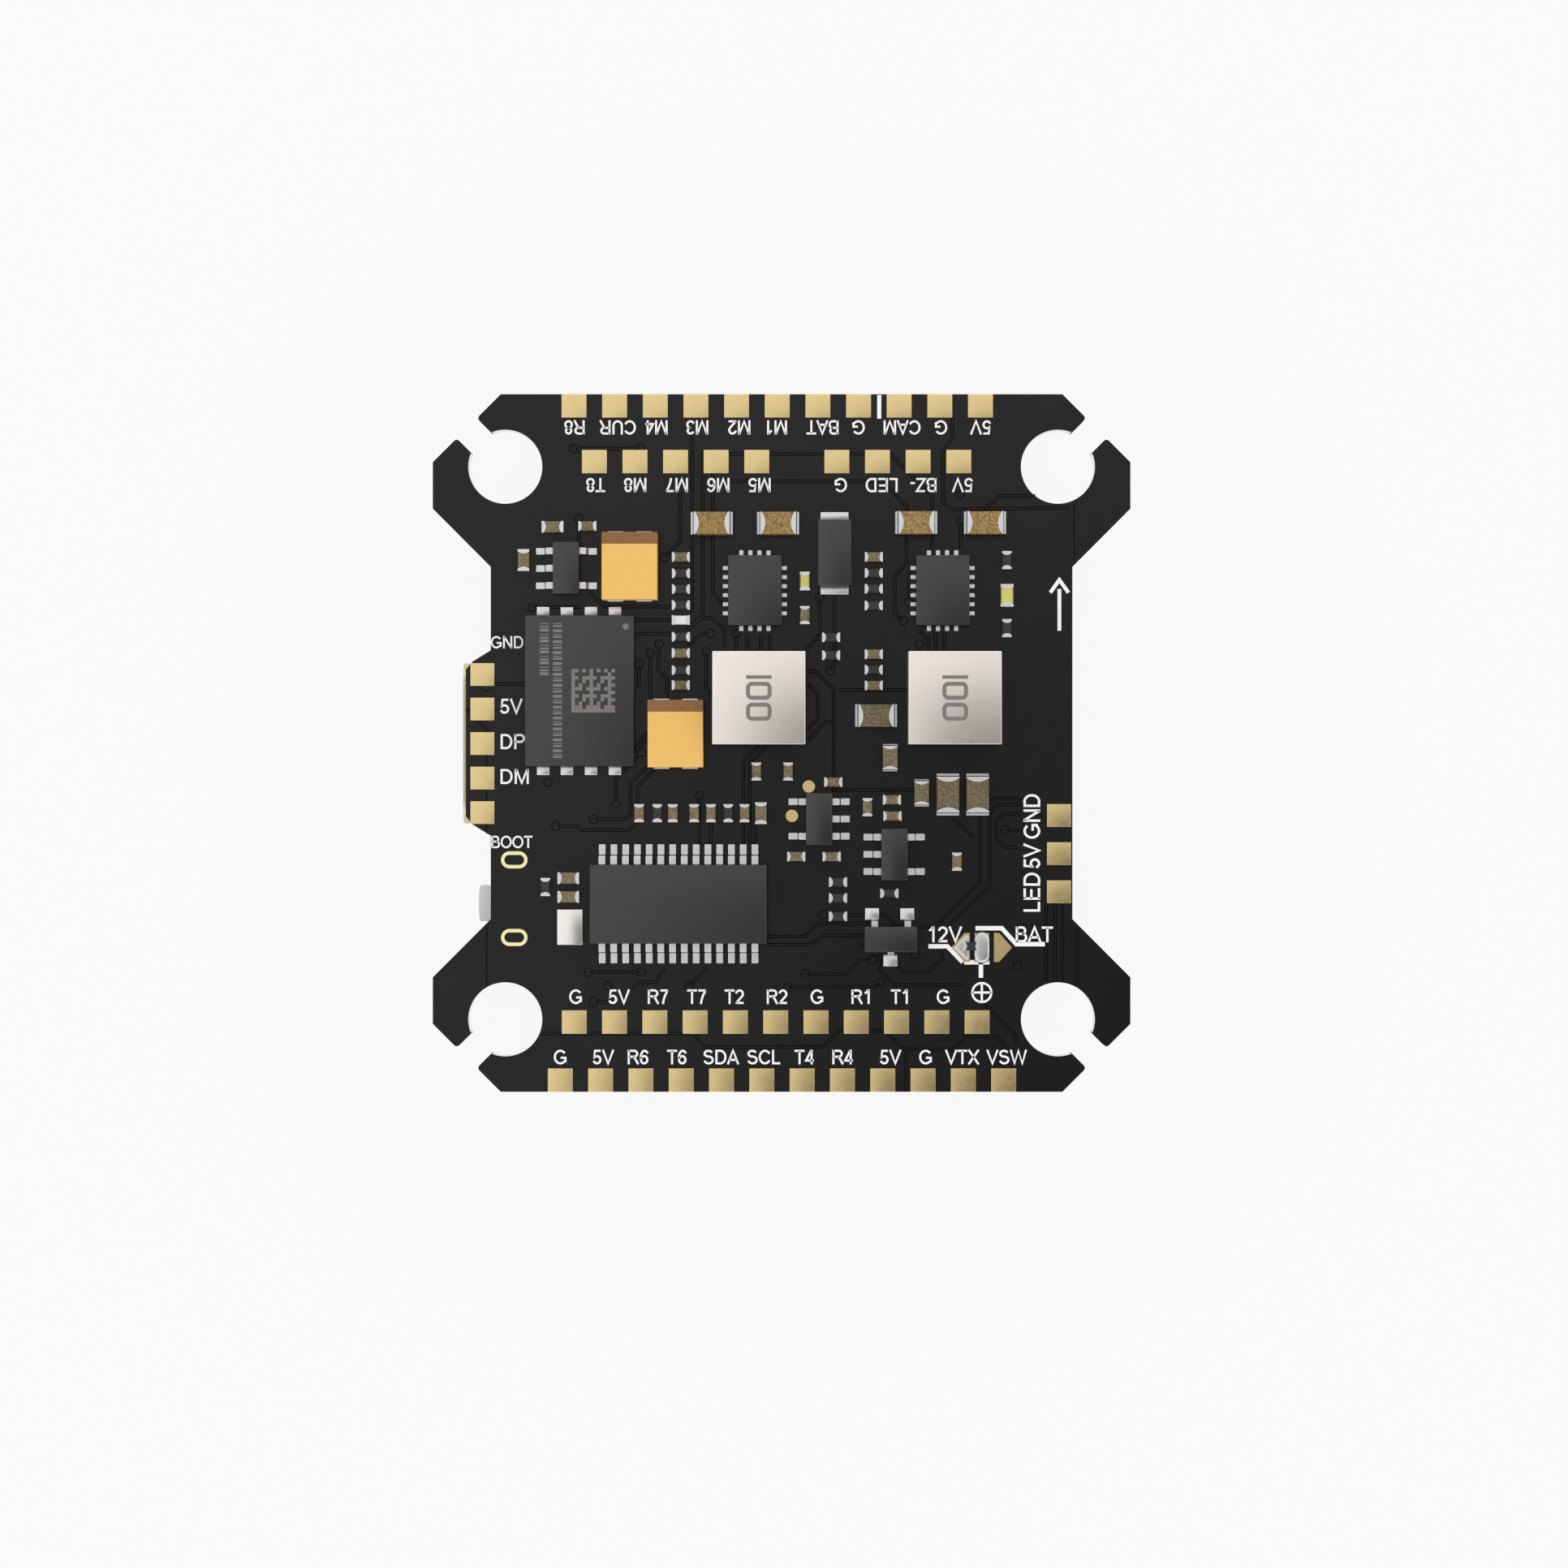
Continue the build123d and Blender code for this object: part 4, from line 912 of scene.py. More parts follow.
UNDER_VIAS = [
    (-9.8, -0.5), (-9.8, 0.1), (12.9, 4.3), (13.5, 8.6), (11.6, -2.0), (-8.6, 8.2), (-11.0, -3.2),
    (-5.6, -12.9), (7.0, -9.6), (12.6, -12.0), (-13.6, 13.0), (8.0, 11.2), (13.0, 12.3),
    (14.9, -6.0), (14.9, 7.0), (15.4, -7.0), (15.4, 8.0), (-4.6, 10.6), (-5.4, 9.2), (6.6, 9.0),
    (6.4, -8.6), (-4.6, -8.6), (-10.6, 1.9), (-10.6, 2.7), (14.0, 1.0), (14.0, 0.1), (14.0, -0.8),
]


def copper_tracks(name, tracks, vias, base, direction):
    """Raised tracks and covered vias on one side of the board, with painted shade on their sloping flanks.
    """
    mesh = bmesh.new()
    for points in tracks:
        ribbon(mesh, points, TRACK_WIDTH, base, direction * TRACK_HEIGHT, TRACK_FLANK_WIDTH)
    for x, y in vias:
        disc(mesh, x, y, VIA_RADIUS, base, direction * TRACK_HEIGHT, TRACK_FLANK_WIDTH, dimple=0.008)
    return new_piece(name, mesh, [SLOT_LOOKS["solder_mask"], PAINTED_TRACK_SHADE])


def copper_gaps():
    """Shallow dark lines of painted shade in the mask."""
    mesh = bmesh.new()
    for points in COPPER_GAPS:
        ribbon(mesh, points, 0.05, TOP, 0.003)
    return new_piece("top_copper_gaps", mesh, [PAINTED_TRACK_SHADE, PAINTED_TRACK_SHADE])


# ---- Legend --------------------------------------------------------------------------------
TOP_EDGE_LABELS = [
    ("R8", -11.43), ("CUR", -9.05), ("M4", -6.93), ("M3", -4.65), ("M2", -2.35), ("M1", -0.25),
    ("BAT", 2.23), ("G", 4.25), ("CAM", 6.65), ("G", 8.80), ("5V", 10.98),
]
TOP_INNER_LABELS = [
    ("T8", -10.23), ("M8", -8.08), ("M7", -5.79), ("M6", -3.50), ("M5", -1.22), ("G", 3.27),
    ("LED", 5.52), ("BZ-", 7.80), ("5V", 9.98),
]
BOTTOM_INNER_LABELS = [
    ("G", -11.37), ("5V", -8.96), ("R7", -6.80), ("T7", -4.70), ("T2", -2.62), ("R2", -0.23),
    ("G", 1.95), ("R1", 4.36), ("T1", 6.47), ("G", 8.91),
]
BOTTOM_EDGE_LABELS = [
    ("G", -12.22), ("5V", -9.83), ("R6", -7.91), ("T6", -5.80), ("SDA", -3.32), ("SCL", -0.95),
    ("T4", 1.25), ("R4", 3.40), ("5V", 6.02), ("G", 7.94), ("VTX", 9.97), ("VSW", 12.42),
]
# text, centre, capital height, width, turn
SINGLE_LABELS = [
    ("GND", (-15.15, 5.56), 0.67, 1.76, 0),
    ("5V", (-14.91, 2.03), 0.83, 1.22, 0),
    ("DP", (-14.83, 0.08), 0.83, 1.30, 0),
    ("DM", (-14.73, -1.85), 0.82, 1.51, 0),
    ("BOOT", (-14.86, -5.46), 0.68, 2.28, 0),
    ("GND", (13.81, -4.05), 0.92, 2.41, 90),
    ("5V", (13.81, -6.23), 0.92, 1.35, 90),
    ("LED", (13.81, -8.23), 0.92, 2.10, 90),
    ("12V", (9.03, -10.56), 0.87, 1.85, 0),
    ("BAT", (13.98, -10.56), 0.87, 2.07, 0),
]
LEGEND_HEIGHT = 0.018
LEGEND_LINE = 0.24
PAD_DIVIDER = ((5.28, 5.50), (17.9, 19.2))    # the white bar between two of the top edge's pads
JUMPER_LINES = [
    [(8.1, -11.22), (9.15, -11.22), (10.0, -12.1)],
    [(10.7, -10.22), (12.15, -10.22), (12.95, -11.1), (14.53, -11.1)],
    [(10.08, -12.1), (11.47, -12.1)],
    [(11.0, -12.1), (11.0, -12.95)],
]


def top_legend():
    """The white legend on the top side: pin labels, the jumper's lines and a direction arrow."""
    mesh = bmesh.new()
    rows = (
        (TOP_EDGE_LABELS, 17.415, 0.78, 180),
        (TOP_INNER_LABELS, 14.235, 0.78, 180),
        (BOTTOM_INNER_LABELS, -14.0, 0.8, 0),
        (BOTTOM_EDGE_LABELS, -17.33, 0.8, 0),
    )
    for labels, y, cap_height, turn in rows:
        for text, x in labels:
            lettering(mesh, text, (x, y), cap_height, None, turn, TOP, LEGEND_HEIGHT)
    for text, centre, cap_height, width, turn in SINGLE_LABELS:
        lettering(mesh, text, centre, cap_height, width, turn, TOP, LEGEND_HEIGHT)
    for points in JUMPER_LINES:
        ribbon(mesh, points, LEGEND_LINE, TOP, LEGEND_HEIGHT)
    box(mesh, *PAD_DIVIDER, (TOP, TOP + LEGEND_HEIGHT))
    earth_centre, earth_radius, line = (11.05, -13.77), 0.58, 0.12
    frame_ring(mesh, earth_centre, earth_radius, earth_radius, earth_radius - 0.01, line, TOP, LEGEND_HEIGHT)
    x, y = earth_centre
    reach = earth_radius - line / 2
    ribbon(mesh, [(x - reach, y), (x + reach, y)], line, TOP, LEGEND_HEIGHT)
    ribbon(mesh, [(x, y - reach), (x, y + reach)], line, TOP, LEGEND_HEIGHT * 0.9)
    arrow_x = 15.33
    ribbon(mesh, [(arrow_x, 6.2), (arrow_x, 8.5)], 0.2, TOP, LEGEND_HEIGHT)
    ribbon(mesh, [(arrow_x - 0.5, 8.3), (arrow_x, 9.0), (arrow_x + 0.5, 8.3)], 0.2, TOP, LEGEND_HEIGHT)
    return new_piece("top_legend", mesh, [INK])


CORNER_MARKED = ("microcontroller_body", "gyro_body", "barometer_base", "processor_crystal")
UNDER_LABEL_CAP = 0.8
LABEL_REACH = 2.1            # from a socket's housing to the middle of its labels, clear of its pins


def corner_marks(mesh, low, high, gap, arm, line, base, height):
    """Four right-angled corner marks around a part, and a dot by its first pin."""
    for sx, x in ((-1, low.x - gap), (1, high.x + gap)):
        for sy, y in ((-1, low.y - gap), (1, high.y + gap)):
            ribbon(mesh, [(x - sx * arm, y), (x, y), (x, y - sy * arm)], line, base, height)
    disc(mesh, low.x - gap * 1.6 - 0.25, high.y + gap + 0.1, 0.2, base, height)


def under_legend():
    """The white legend on the underside: part corners, first pins, socket pins and a plain arrow."""
    mesh = bmesh.new()
    height, line = -LEGEND_HEIGHT, 0.14
    for node in CORNER_MARKED:
        low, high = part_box(node)
        gap = 1.15 if node == "microcontroller_body" else 0.35
        corner_marks(mesh, low / MM, high / MM, gap, 0.8, line, UNDER, height)
    rows = (
        ("esc_socket_housing", ("G", "V", "C", "T", "1", "2", "3", "4"), 1.0),
        ("video_socket_housing", ("V", "G", "T", "R", "G", "S"), 1.0),
    )
    for node, texts, pitch in rows:
        low, high = (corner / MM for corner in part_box(node))
        inward = -1 if low.y > 0 else 1
        y = (low.y if inward < 0 else high.y) + inward * LABEL_REACH
        x = (low.x + high.x) / 2 + pitch * (len(texts) - 1) / 2
        for text in texts:
            lettering(mesh, text, (x, y), UNDER_LABEL_CAP, None, 0, UNDER, height, mirror=-1)
            x -= pitch
    arrow_x = -8.2
    ribbon(mesh, [(arrow_x, 12.4), (arrow_x, 14.4)], 0.22, UNDER, height)
    ribbon(mesh, [(arrow_x - 0.55, 14.1), (arrow_x, 14.9), (arrow_x + 0.55, 14.1)], 0.22, UNDER, height)
    lettering(mesh, "USB", (-13.6, 6.3), UNDER_LABEL_CAP, None, 0, UNDER, height, mirror=-1)
    return new_piece("under_legend", mesh, [INK, INK])


# ---- Marks on the parts ----------------------------------------------------------------------
JUMPER_SPLIT = 10.5          # between the jumper's two heaps of solder
HEAP_HEIGHT = 0.7            # a heap's height as a share of its CAD solid's
HEAP_SHOULDER = 1.65         # where the pointed heap starts to narrow, in half widths from its tip
HEAP_MIDDLE = 1.25           # where the pointed heap is highest, in half widths from its tip
MARK_DEPTH = 0.03            # how far a mark's strokes reach into the part
MARK_HEIGHT = 0.006          # how far a mark stands above the part
FLASH_CROWN = 0.16
INDUCTOR_CROWN = 0.095


def inductor_marks():
    """The value code on each inductor, read from the right: a bar and two zeros."""
    combined = bmesh.new()
    half_x, half_y, corner, stroke = 0.7, 0.49, 0.33, 0.22
    bar_width, bar_shift, bar_steps = 0.19, 1.12, 12
    zero_shifts = (0.37, -0.77)
    thickness = MARK_DEPTH + MARK_HEIGHT
    for low, high in solid_boxes("inductor_bodies"):
        mesh = bmesh.new()
        x, y, base = (low.x + high.x) / 2, (low.y + high.y) / 2, high.z - MARK_ROOM - MARK_DEPTH
        bar = [(x - half_x + 2 * half_x * step / bar_steps, y + bar_shift) for step in range(bar_steps + 1)]
        ribbon(mesh, bar, bar_width, base, thickness)
        for shift in zero_shifts:
            frame_ring(mesh, (x, y + shift), half_x, half_y, corner, stroke, base, thickness)
        drape(mesh, low, high, INDUCTOR_CROWN)
        pour(mesh, combined)
    return new_piece("inductor_marks", combined, [INDUCTOR_MARK, INDUCTOR_MARK])


def tantalum_bands():
    """The polarity band printed over one end of each tantalum capacitor."""
    mesh = bmesh.new()
    width, skin = 0.66, 0.008
    for low, high in solid_boxes("tantalum_bodies"):
        x_range = (low.x - skin, high.x + skin)
        y_range = (high.y - width, high.y + skin)
        centre_low = Vector((x_range[0], y_range[0], low.z + 0.9))
        centre_high = Vector((x_range[1], y_range[1], high.z + skin))
        pillow(mesh, centre_low, centre_high, radius=0.035, crown=0.0, inner=2)
    return new_piece("tantalum_bands", mesh, [TANTALUM_BAND])


def flash_marks():
    """Plain stand-ins for the memory chip's marking: two rows of ticks, a block pattern and a dot."""
    mesh = bmesh.new()
    low, high = solid_boxes("flash_memory_body")[0]
    base = high.z - MARK_ROOM - MARK_DEPTH
    thickness = (base, base + MARK_DEPTH + MARK_HEIGHT)
    cell, cells = 0.2, 12
    left, lower = low.x + 2.55, low.y + 2.95
    for column in range(cells):
        for row in range(cells):
            on_frame = column == 0 or row == 0
            dotted = (column == cells - 1 and row % 2) or (row == cells - 1 and column % 2)
            inside = (column * column * 3 + row * 5 + column * row * 7) % 5 < 2
            if on_frame or dotted or (inside and column < cells - 1 and row < cells - 1):
                x, y = left + column * cell, lower + row * cell
                box(mesh, (x, x + cell * 0.96), (y, y + cell * 0.96), thickness)
    for row, (x, count) in enumerate(((low.x + 1.78, 38), (low.x + 1.05, 15))):
        y = high.y - 0.42
        for number in range(count):
            tick = 0.05 + 0.05 * ((number * 7 + row * 3) % 3)
            box(mesh, (x - 0.25, x + 0.25), (y - tick, y), thickness)
            y -= tick + 0.06 + 0.04 * ((number * 5 + row) % 3)
    disc(mesh, high.x - 0.45, high.y - 0.6, 0.175, base, MARK_DEPTH + MARK_HEIGHT)
    drape(mesh, low, high, FLASH_CROWN)
    return new_piece("flash_memory_marks", mesh, [LASER_MARK, LASER_MARK])


def mound(mesh, outline, middle, base, height):
    """A smooth heap with the given outline: steep at its rim and almost flat on top."""
    loops = []
    centre = Vector(middle)
    for share, rise in ((1.0, 0.0), (0.95, 0.55), (0.88, 0.8), (0.74, 0.92), (0.5, 0.98), (0.25, 1.0)):
        points = [centre.lerp(Vector(point), share) for point in outline]
        loops.append([mesh.verts.new((*point, base + rise * height)) for point in points])
    for outer, inner in zip(loops, loops[1:]):
        bridge(mesh, outer, inner)
    mesh.faces.new(loops[-1])
    mesh.faces.new(loops[0][::-1])


FOOT_LENGTH = 0.66           # the soldered foot of each of the transistor's leads
FOOT_INSET = 0.02            # how far a foot's solder and neck stay inside the lead's outline
NECK_GAP = 0.045             # the gap between a foot and its neck, painted dark as the shade of the bend
NECK_UNDERSIDE = 0.45        # height of the neck's lower face above the board
NECK_TOP = 0.6               # height of the neck's upper face above the board
NECK_DROP = 0.1              # thickness of the upright part that carries a neck down to the board
BEND_TOP = 0.12              # height of the painted shade at the bend above the board
FOOT_TOP = 0.22


def transistor_leads():
    """Soldered feet with domed tops, each with a narrow neck up to the transistor's body and a dark box of
    painted shade at the bend between them.
    """
    mesh = bmesh.new()
    body_low, body_high = solid_boxes("transistor_body")[0]
    corners = [vertex.co / MM for vertex in frame["nodes"]["transistor_leads"].data.vertices]
    for low, high in solid_boxes("transistor_leads"):
        side = 1 if low.y + high.y > body_low.y + body_high.y else -1
        edge, tip = (body_high.y, high.y) if side > 0 else (body_low.y, low.y)
        inner = tip - side * FOOT_LENGTH
        bend = inner - side * NECK_GAP
        y_low, y_high = sorted((inner, tip - side * FOOT_INSET))
        pillow(
            mesh,
            Vector((low.x + FOOT_INSET, y_low, TOP)),
            Vector((high.x - FOOT_INSET, y_high, TOP + FOOT_TOP)),
            radius=0.015,
            crown=0.06,
            inner=8,
        )
        beside_body = [c.x for c in corners if low.x <= c.x <= high.x and abs(c.y - edge) < 0.01]
        neck = (min(beside_body) + FOOT_INSET, max(beside_body) - FOOT_INSET)
        for start, end, bottom, top, look in (
            (edge, bend, NECK_UNDERSIDE, NECK_TOP, 0),
            (bend - side * NECK_DROP, bend, 0, NECK_UNDERSIDE, 0),
            # the dark box at the bend: painted shade
            (bend, inner + side * 0.01, 0, BEND_TOP, 1),
        ):
            box(mesh, neck, sorted((start, end)), (TOP + bottom, TOP + top), look)
    looks = [SLOT_LOOKS["tinned_metal"], SHADE_PAINT_AT_BENDS]
    piece = new_piece("transistor_leads_bent", mesh, looks, smooth=True)
    piece.data.set_sharp_from_angle(angle=CREASE)
    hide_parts("transistor_leads")


def jumper_mounds():
    """Smooth solder heaps in place of the CAD ones: a rounded one and a pointed one."""
    mesh = bmesh.new()
    for low, high in solid_boxes("jumper_solder"):
        centre, half = (low + high) / 2, (high - low) / 2
        middle = (centre.x, centre.y)
        if centre.x > JUMPER_SPLIT:
            rounded = ring_outline(half.x, half.y, half.x - 0.02)
            outline = [(centre.x + x, centre.y + y) for x, y in rounded]
        else:
            shoulder = low.x + half.x * HEAP_SHOULDER
            outline = [(high.x, low.y), (high.x, high.y), (shoulder, high.y)]
            outline += [(low.x, centre.y), (shoulder, low.y)]
            middle = (low.x + half.x * HEAP_MIDDLE, centre.y)
        mound(mesh, outline, middle, low.z, (high.z - low.z) * HEAP_HEIGHT)
    piece = new_piece("jumper_mounds", mesh, [SLOT_LOOKS["solder"]], smooth=True)
    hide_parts("jumper_solder")


# ---- Leads and plated ends -----------------------------------------------------------------------
def outward(middle, bodies):
    """The axis and direction in which a lead or plated end at a place points away from its body."""
    low, high = min(bodies, key=lambda body: ((body[0] + body[1]) / 2 - middle).length)
    away = middle - (low + high) / 2
    past_x = abs(away.x) - (high.x - low.x) / 2
    past_y = abs(away.y) - (high.y - low.y) / 2
    axis = 0 if past_x > past_y else 1
    return axis, math.copysign(1.0, away[axis])


def bend_shade_strips(name, leads, bodies, shoulder, foot_height):
    """A thin dark strip of painted shade down the bend of every lead of a package on the top side."""
    mesh = bmesh.new()
    body_boxes = solid_boxes(bodies)
    thickness, skin, drop, half_drop = 0.03, 0.004, 0.1, 0.05
    for low, high in solid_boxes(leads):
        if (low.z + high.z) / 2 < UNDER:
            continue
        axis, way = outward((low + high) / 2, body_boxes)
        start = (low if way > 0 else high)[axis] + way * shoulder
        corners = []
        for side in (low[1 - axis] - skin, high[1 - axis] + skin):
            for along, z in (
                (start + way * half_drop - way * thickness, (high.z + low.z + foot_height) / 2),
                (start + way * half_drop + way * skin, (high.z + low.z + foot_height) / 2),
                (start + way * (drop + skin * 2), low.z + foot_height + skin),
                (start + way * (drop - thickness), low.z + foot_height - thickness),
            ):
                place = [0.0, 0.0, z]
                place[axis], place[1 - axis] = along, side
                corners.append(mesh.verts.new(place))
        for face in ((0, 1, 2, 3), (7, 6, 5, 4), (0, 4, 5, 1), (1, 5, 6, 2), (2, 6, 7, 3), (3, 7, 4, 0)):
            mesh.faces.new([corners[index] for index in face])
    return new_piece(name, mesh, [SHADE_PAINT_AT_BENDS])


# How deep a chip's outer solder ledge is, for chips wider than each limit
LEDGE_DEPTHS = ((1.0, 0.17), (0.7, 0.1), (0.0, 0.0))
LEDGE_SHARE = 0.72           # a ledge's height as a share of its chip's
SEAM_SHARE = 0.1             # how far the seam lies below the ledge, as a share of the chip's height
CAP_START = 0.11             # where a cap begins, as a share of its CAD length
CAP_BOW = 0.48               # how deep a cap's inner edge bows, as a share of its length
SEAM = 0.035                 # the dark strip of painted shade between a ledge and its cap


def plated_caps(name, terminals, bodies, bevel_width):
    """Chip ends: a full-height cap with a bowed inner edge and, on larger chips, a low outer ledge with a
    dark seam of painted shade before the cap.
    """
    mesh = bmesh.new()
    body_boxes = solid_boxes(bodies)
    bow_steps = 10

    def add_box(axis, along_range, across_range, z_range, look):
        ranges = [None, None, z_range]
        ranges[axis], ranges[1 - axis] = along_range, across_range
        box(mesh, *ranges, look)

    for low, high in solid_boxes(terminals):
        axis, way = outward((low + high) / 2, body_boxes)
        near, far = (low[axis], high[axis]) if way > 0 else (high[axis], low[axis])
        near += (far - near) * CAP_START
        side_low, side_high = low[1 - axis], high[1 - axis]
        ledge = next(depth for limit, depth in LEDGE_DEPTHS if side_high - side_low > limit)
        standing = (low.z + high.z) / 2 > UNDER
        base, top = (low.z, high.z) if standing else (high.z, low.z)
        step = far - way * ledge
        bow = (far - near) * CAP_BOW
        outline = [(step, side_low), (step, side_high)]
        for index in range(bow_steps + 1):
            share = 1 - 2 * index / bow_steps
            across = (side_low + side_high) / 2 + share * (side_high - side_low) / 2
            outline.append((near + bow * share**2, across))
        rings = []
        for z in (base, top):
            ring = []
            for along, across in outline:
                place = [0.0, 0.0, z]
                place[axis], place[1 - axis] = along, across
                ring.append(mesh.verts.new(place))
            rings.append(ring)
            mesh.faces.new(ring)
        bridge(mesh, *rings)
        if ledge:
            across_range = (side_low + 0.01, side_high - 0.01)
            shelf = base + (top - base) * LEDGE_SHARE
            add_box(axis, (step + way * SEAM, far), across_range, (base, shelf), 1)
            # a dark strip at the step: painted shade in the gap between ledge and cap
            seam_top = shelf - (top - base) * SEAM_SHARE
            add_box(axis, (step - way * 0.02, step + way * SEAM), across_range, (base, seam_top), 2)
    piece = new_piece(name, mesh, [CAP_PLATING, LEDGE_SOLDER, SHADE_PAINT_AT_BENDS])
    round_edges(piece, bevel_width, CREASE)
    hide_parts(terminals)


# ---- Small finishing pieces ---------------------------------------------------------------------
def slot_shade_plugs():
    """Dark plugs of painted shade just below the top of the plated slots, over the switch's legs."""
    mesh = bmesh.new()
    rim_x, rim_y = 0.19, 0.2
    bottom, surface = TOP - 0.4, TOP - 0.03
    for low, high in solid_boxes("switch_slot_rings"):
        x, y = (low.x + high.x) / 2, (low.y + high.y) / 2
        half_x, half_y = (high.x - low.x) / 2 - rim_x, (high.y - low.y) / 2 - rim_y
        outline = ring_outline(half_x, half_y, half_y - 0.001)
        lower = [mesh.verts.new((x + dx, y + dy, bottom)) for dx, dy in outline]
        upper = [mesh.verts.new((x + dx, y + dy, surface)) for dx, dy in outline]
        mesh.faces.new(lower)
        mesh.faces.new(upper)
        bridge(mesh, lower, upper)
    return new_piece("slot_shade_plugs", mesh, [SLOT_LOOKS["solder_mask"]])


HOLE_PLACE = 15.25
HOLE_RADIUS = 2.05
LINING_HEIGHTS = (UNDER + 0.05, TOP - 0.04)
MOUTH_ANGLE = 24.0           # half of the angle that each hole's mouth takes out of its wall


def hole_linings():
    """The bright plated wall of each mounting hole, open at its mouth."""
    mesh = bmesh.new()
    steps, skin = 40, 0.012
    for sx in (-1, 1):
        for sy in (-1, 1):
            middle = math.degrees(math.atan2(sy, sx))
            walls = []
            for radius in (HOLE_RADIUS, HOLE_RADIUS - skin):
                start, end = middle + MOUTH_ANGLE, middle + 360 - MOUTH_ANGLE
                points = arc(sx * HOLE_PLACE, sy * HOLE_PLACE, radius, radius, start, end, steps)
                walls.append([[mesh.verts.new((x, y, z)) for x, y in points] for z in LINING_HEIGHTS])
            (outer_low, outer_high), (inner_low, inner_high) = walls
            for first, second in (
                (outer_high, outer_low),
                (inner_low, inner_high),
                (outer_low, inner_low),
                (inner_high, outer_high),
            ):
                for index in range(steps):
                    mesh.faces.new((first[index], first[index + 1], second[index + 1], second[index]))
            for index in (0, steps):
                mesh.faces.new((outer_low[index], outer_high[index], inner_high[index], inner_low[index]))
    return new_piece("hole_linings", mesh, [SLOT_LOOKS["tinned_metal"]])


# ---- CAD nodes: their looks, and which are rebuilt or softened -----------------------------------
SOFT_EDGE_ANGLE = math.radians(35)


def soften(node, width):
    """Round a CAD node's edges by a small radius, without touching its mesh."""
    piece = frame["nodes"][node]
    weld = piece.modifiers.new("weld", "WELD")
    weld.merge_threshold = 1e-6
    round_edges(piece, width, SOFT_EDGE_ANGLE)


SPECIAL_LOOKS = {
    "circuit_board": BOARD_SKIN,
    "switch_slot_rings": PALE_GOLD,
    "resistor_terminals": CAP_PLATING,
    "led_terminals": CAP_PLATING,
    "fuse_terminals": CAP_PLATING,
}


def dress_cad_nodes():
    """Give every CAD node the look of its material slot, or its own look where it has one."""
    for part in frame["record"]["subparts"]:
        piece = frame["nodes"][part["node"]]
        piece.data.materials.clear()
        piece.data.materials.append(SLOT_LOOKS[part["material_slot"]].data)
    for node, look in SPECIAL_LOOKS.items():
        frame["nodes"][node].data.materials[0] = look.data


# Every rebuilt node but the inductors and large capacitors: its look, edge radius, crown, faces across
CHIP = SLOT_LOOKS["chip_plastic"]
GOLD = SLOT_LOOKS["gold_plating"]
TIN = SLOT_LOOKS["tinned_metal"]
CRYSTAL = SLOT_LOOKS["crystal_can"]
TOP_ROW = 11.0               # the capacitors above this line are of a more golden ceramic
PAD_SIDES = ("top_edge", "top_inner", "bottom_inner", "bottom_edge", "usb_side", "led_side")
REBUILT = {
    **{f"pads_{side}": (GOLD, 0.012, 0.027, 8) for side in PAD_SIDES},
    "tantalum_bodies": (SLOT_LOOKS["tantalum_resin"], 0.03, 0.005, 6),
    "flash_memory_body": (CHIP, 0.03, FLASH_CROWN, 16),
    "display_chip_body": (CHIP, 0.03, 0.14, 16),
    "converter_bodies": (CHIP, 0.03, 0.1, 12),
    "regulator_bodies": (CHIP, 0.03, 0.08, 10),
    "transistor_body": (CHIP, 0.03, 0.07, 10),
    "diode_body": (CHIP, 0.03, 0.1, 10),
    "microcontroller_body": (CHIP, 0.06, 0.1, 16),
    "gyro_body": (CHIP, 0.03, 0.03, 6),
    "diode_terminals": (TIN, 0.03, 0.06, 8),
    "flash_memory_terminals": (TIN, 0.03, 0.05, 8),
    "display_crystal": (CRYSTAL, 0.02, 0.06, 10),
    "processor_crystal": (CRYSTAL, 0.05, 0.05, 10),
    "small_capacitor_bodies": (SMALL_CERAMIC, 0.03, 0.01, 2),
}
# Nodes that keep their CAD shape, by how far their edges are rounded
SOFTENED = {
    0.02: ("tantalum_terminals", "microcontroller_leads"),
    0.03: ("resistor_bodies", "fuse_body", "display_chip_leads", "regulator_leads", "converter_terminals"),
    0.035: ("resistor_terminals", "led_terminals", "fuse_terminals"),
    0.04: ("led_bodies", "switch_housing", "switch_cover", "circuit_board"),
    0.05: ("switch_plunger",),
    0.06: ("usb_shell", "esc_socket_housing", "video_socket_housing"),
}
FLANK_SLOPE = 0.5            # faces that point up or down less than this are an inductor's flanks


def moulded_inductors():
    """The inductors, with a pale coat on top and duller flanks."""
    looks = [SLOT_LOOKS["inductor_composite"], INDUCTOR_FLANK]
    inductors = rebuild("inductor_bodies", looks, radius=0.035, crown=INDUCTOR_CROWN, inner=16)
    for polygon in inductors.data.polygons:
        if abs(polygon.normal.z) < FLANK_SLOPE:
            polygon.material_index = 1


def moulded_large_capacitors():
    """The large capacitors, of a more golden ceramic in the top row."""
    looks = [SLOT_LOOKS["capacitor_ceramic"], GOLDEN_CERAMIC]
    rebuild(
        "large_capacitor_bodies",
        looks,
        pick=lambda centre: 1 if centre.y > TOP_ROW else 0,
        radius=0.04,
        crown=0.02,
        inner=6,
    )


# ---- Build everything ------------------------------------------------------------------------
dress_cad_nodes()
for rebuilt_node, (look, edge_radius, node_crown, across) in REBUILT.items():
    rebuild(rebuilt_node, [look], radius=edge_radius, crown=node_crown, inner=across)
moulded_inductors()
moulded_large_capacitors()
transistor_leads()
for edge_width, soft_nodes in SOFTENED.items():
    for soft_node in soft_nodes:
        soften(soft_node, edge_width)

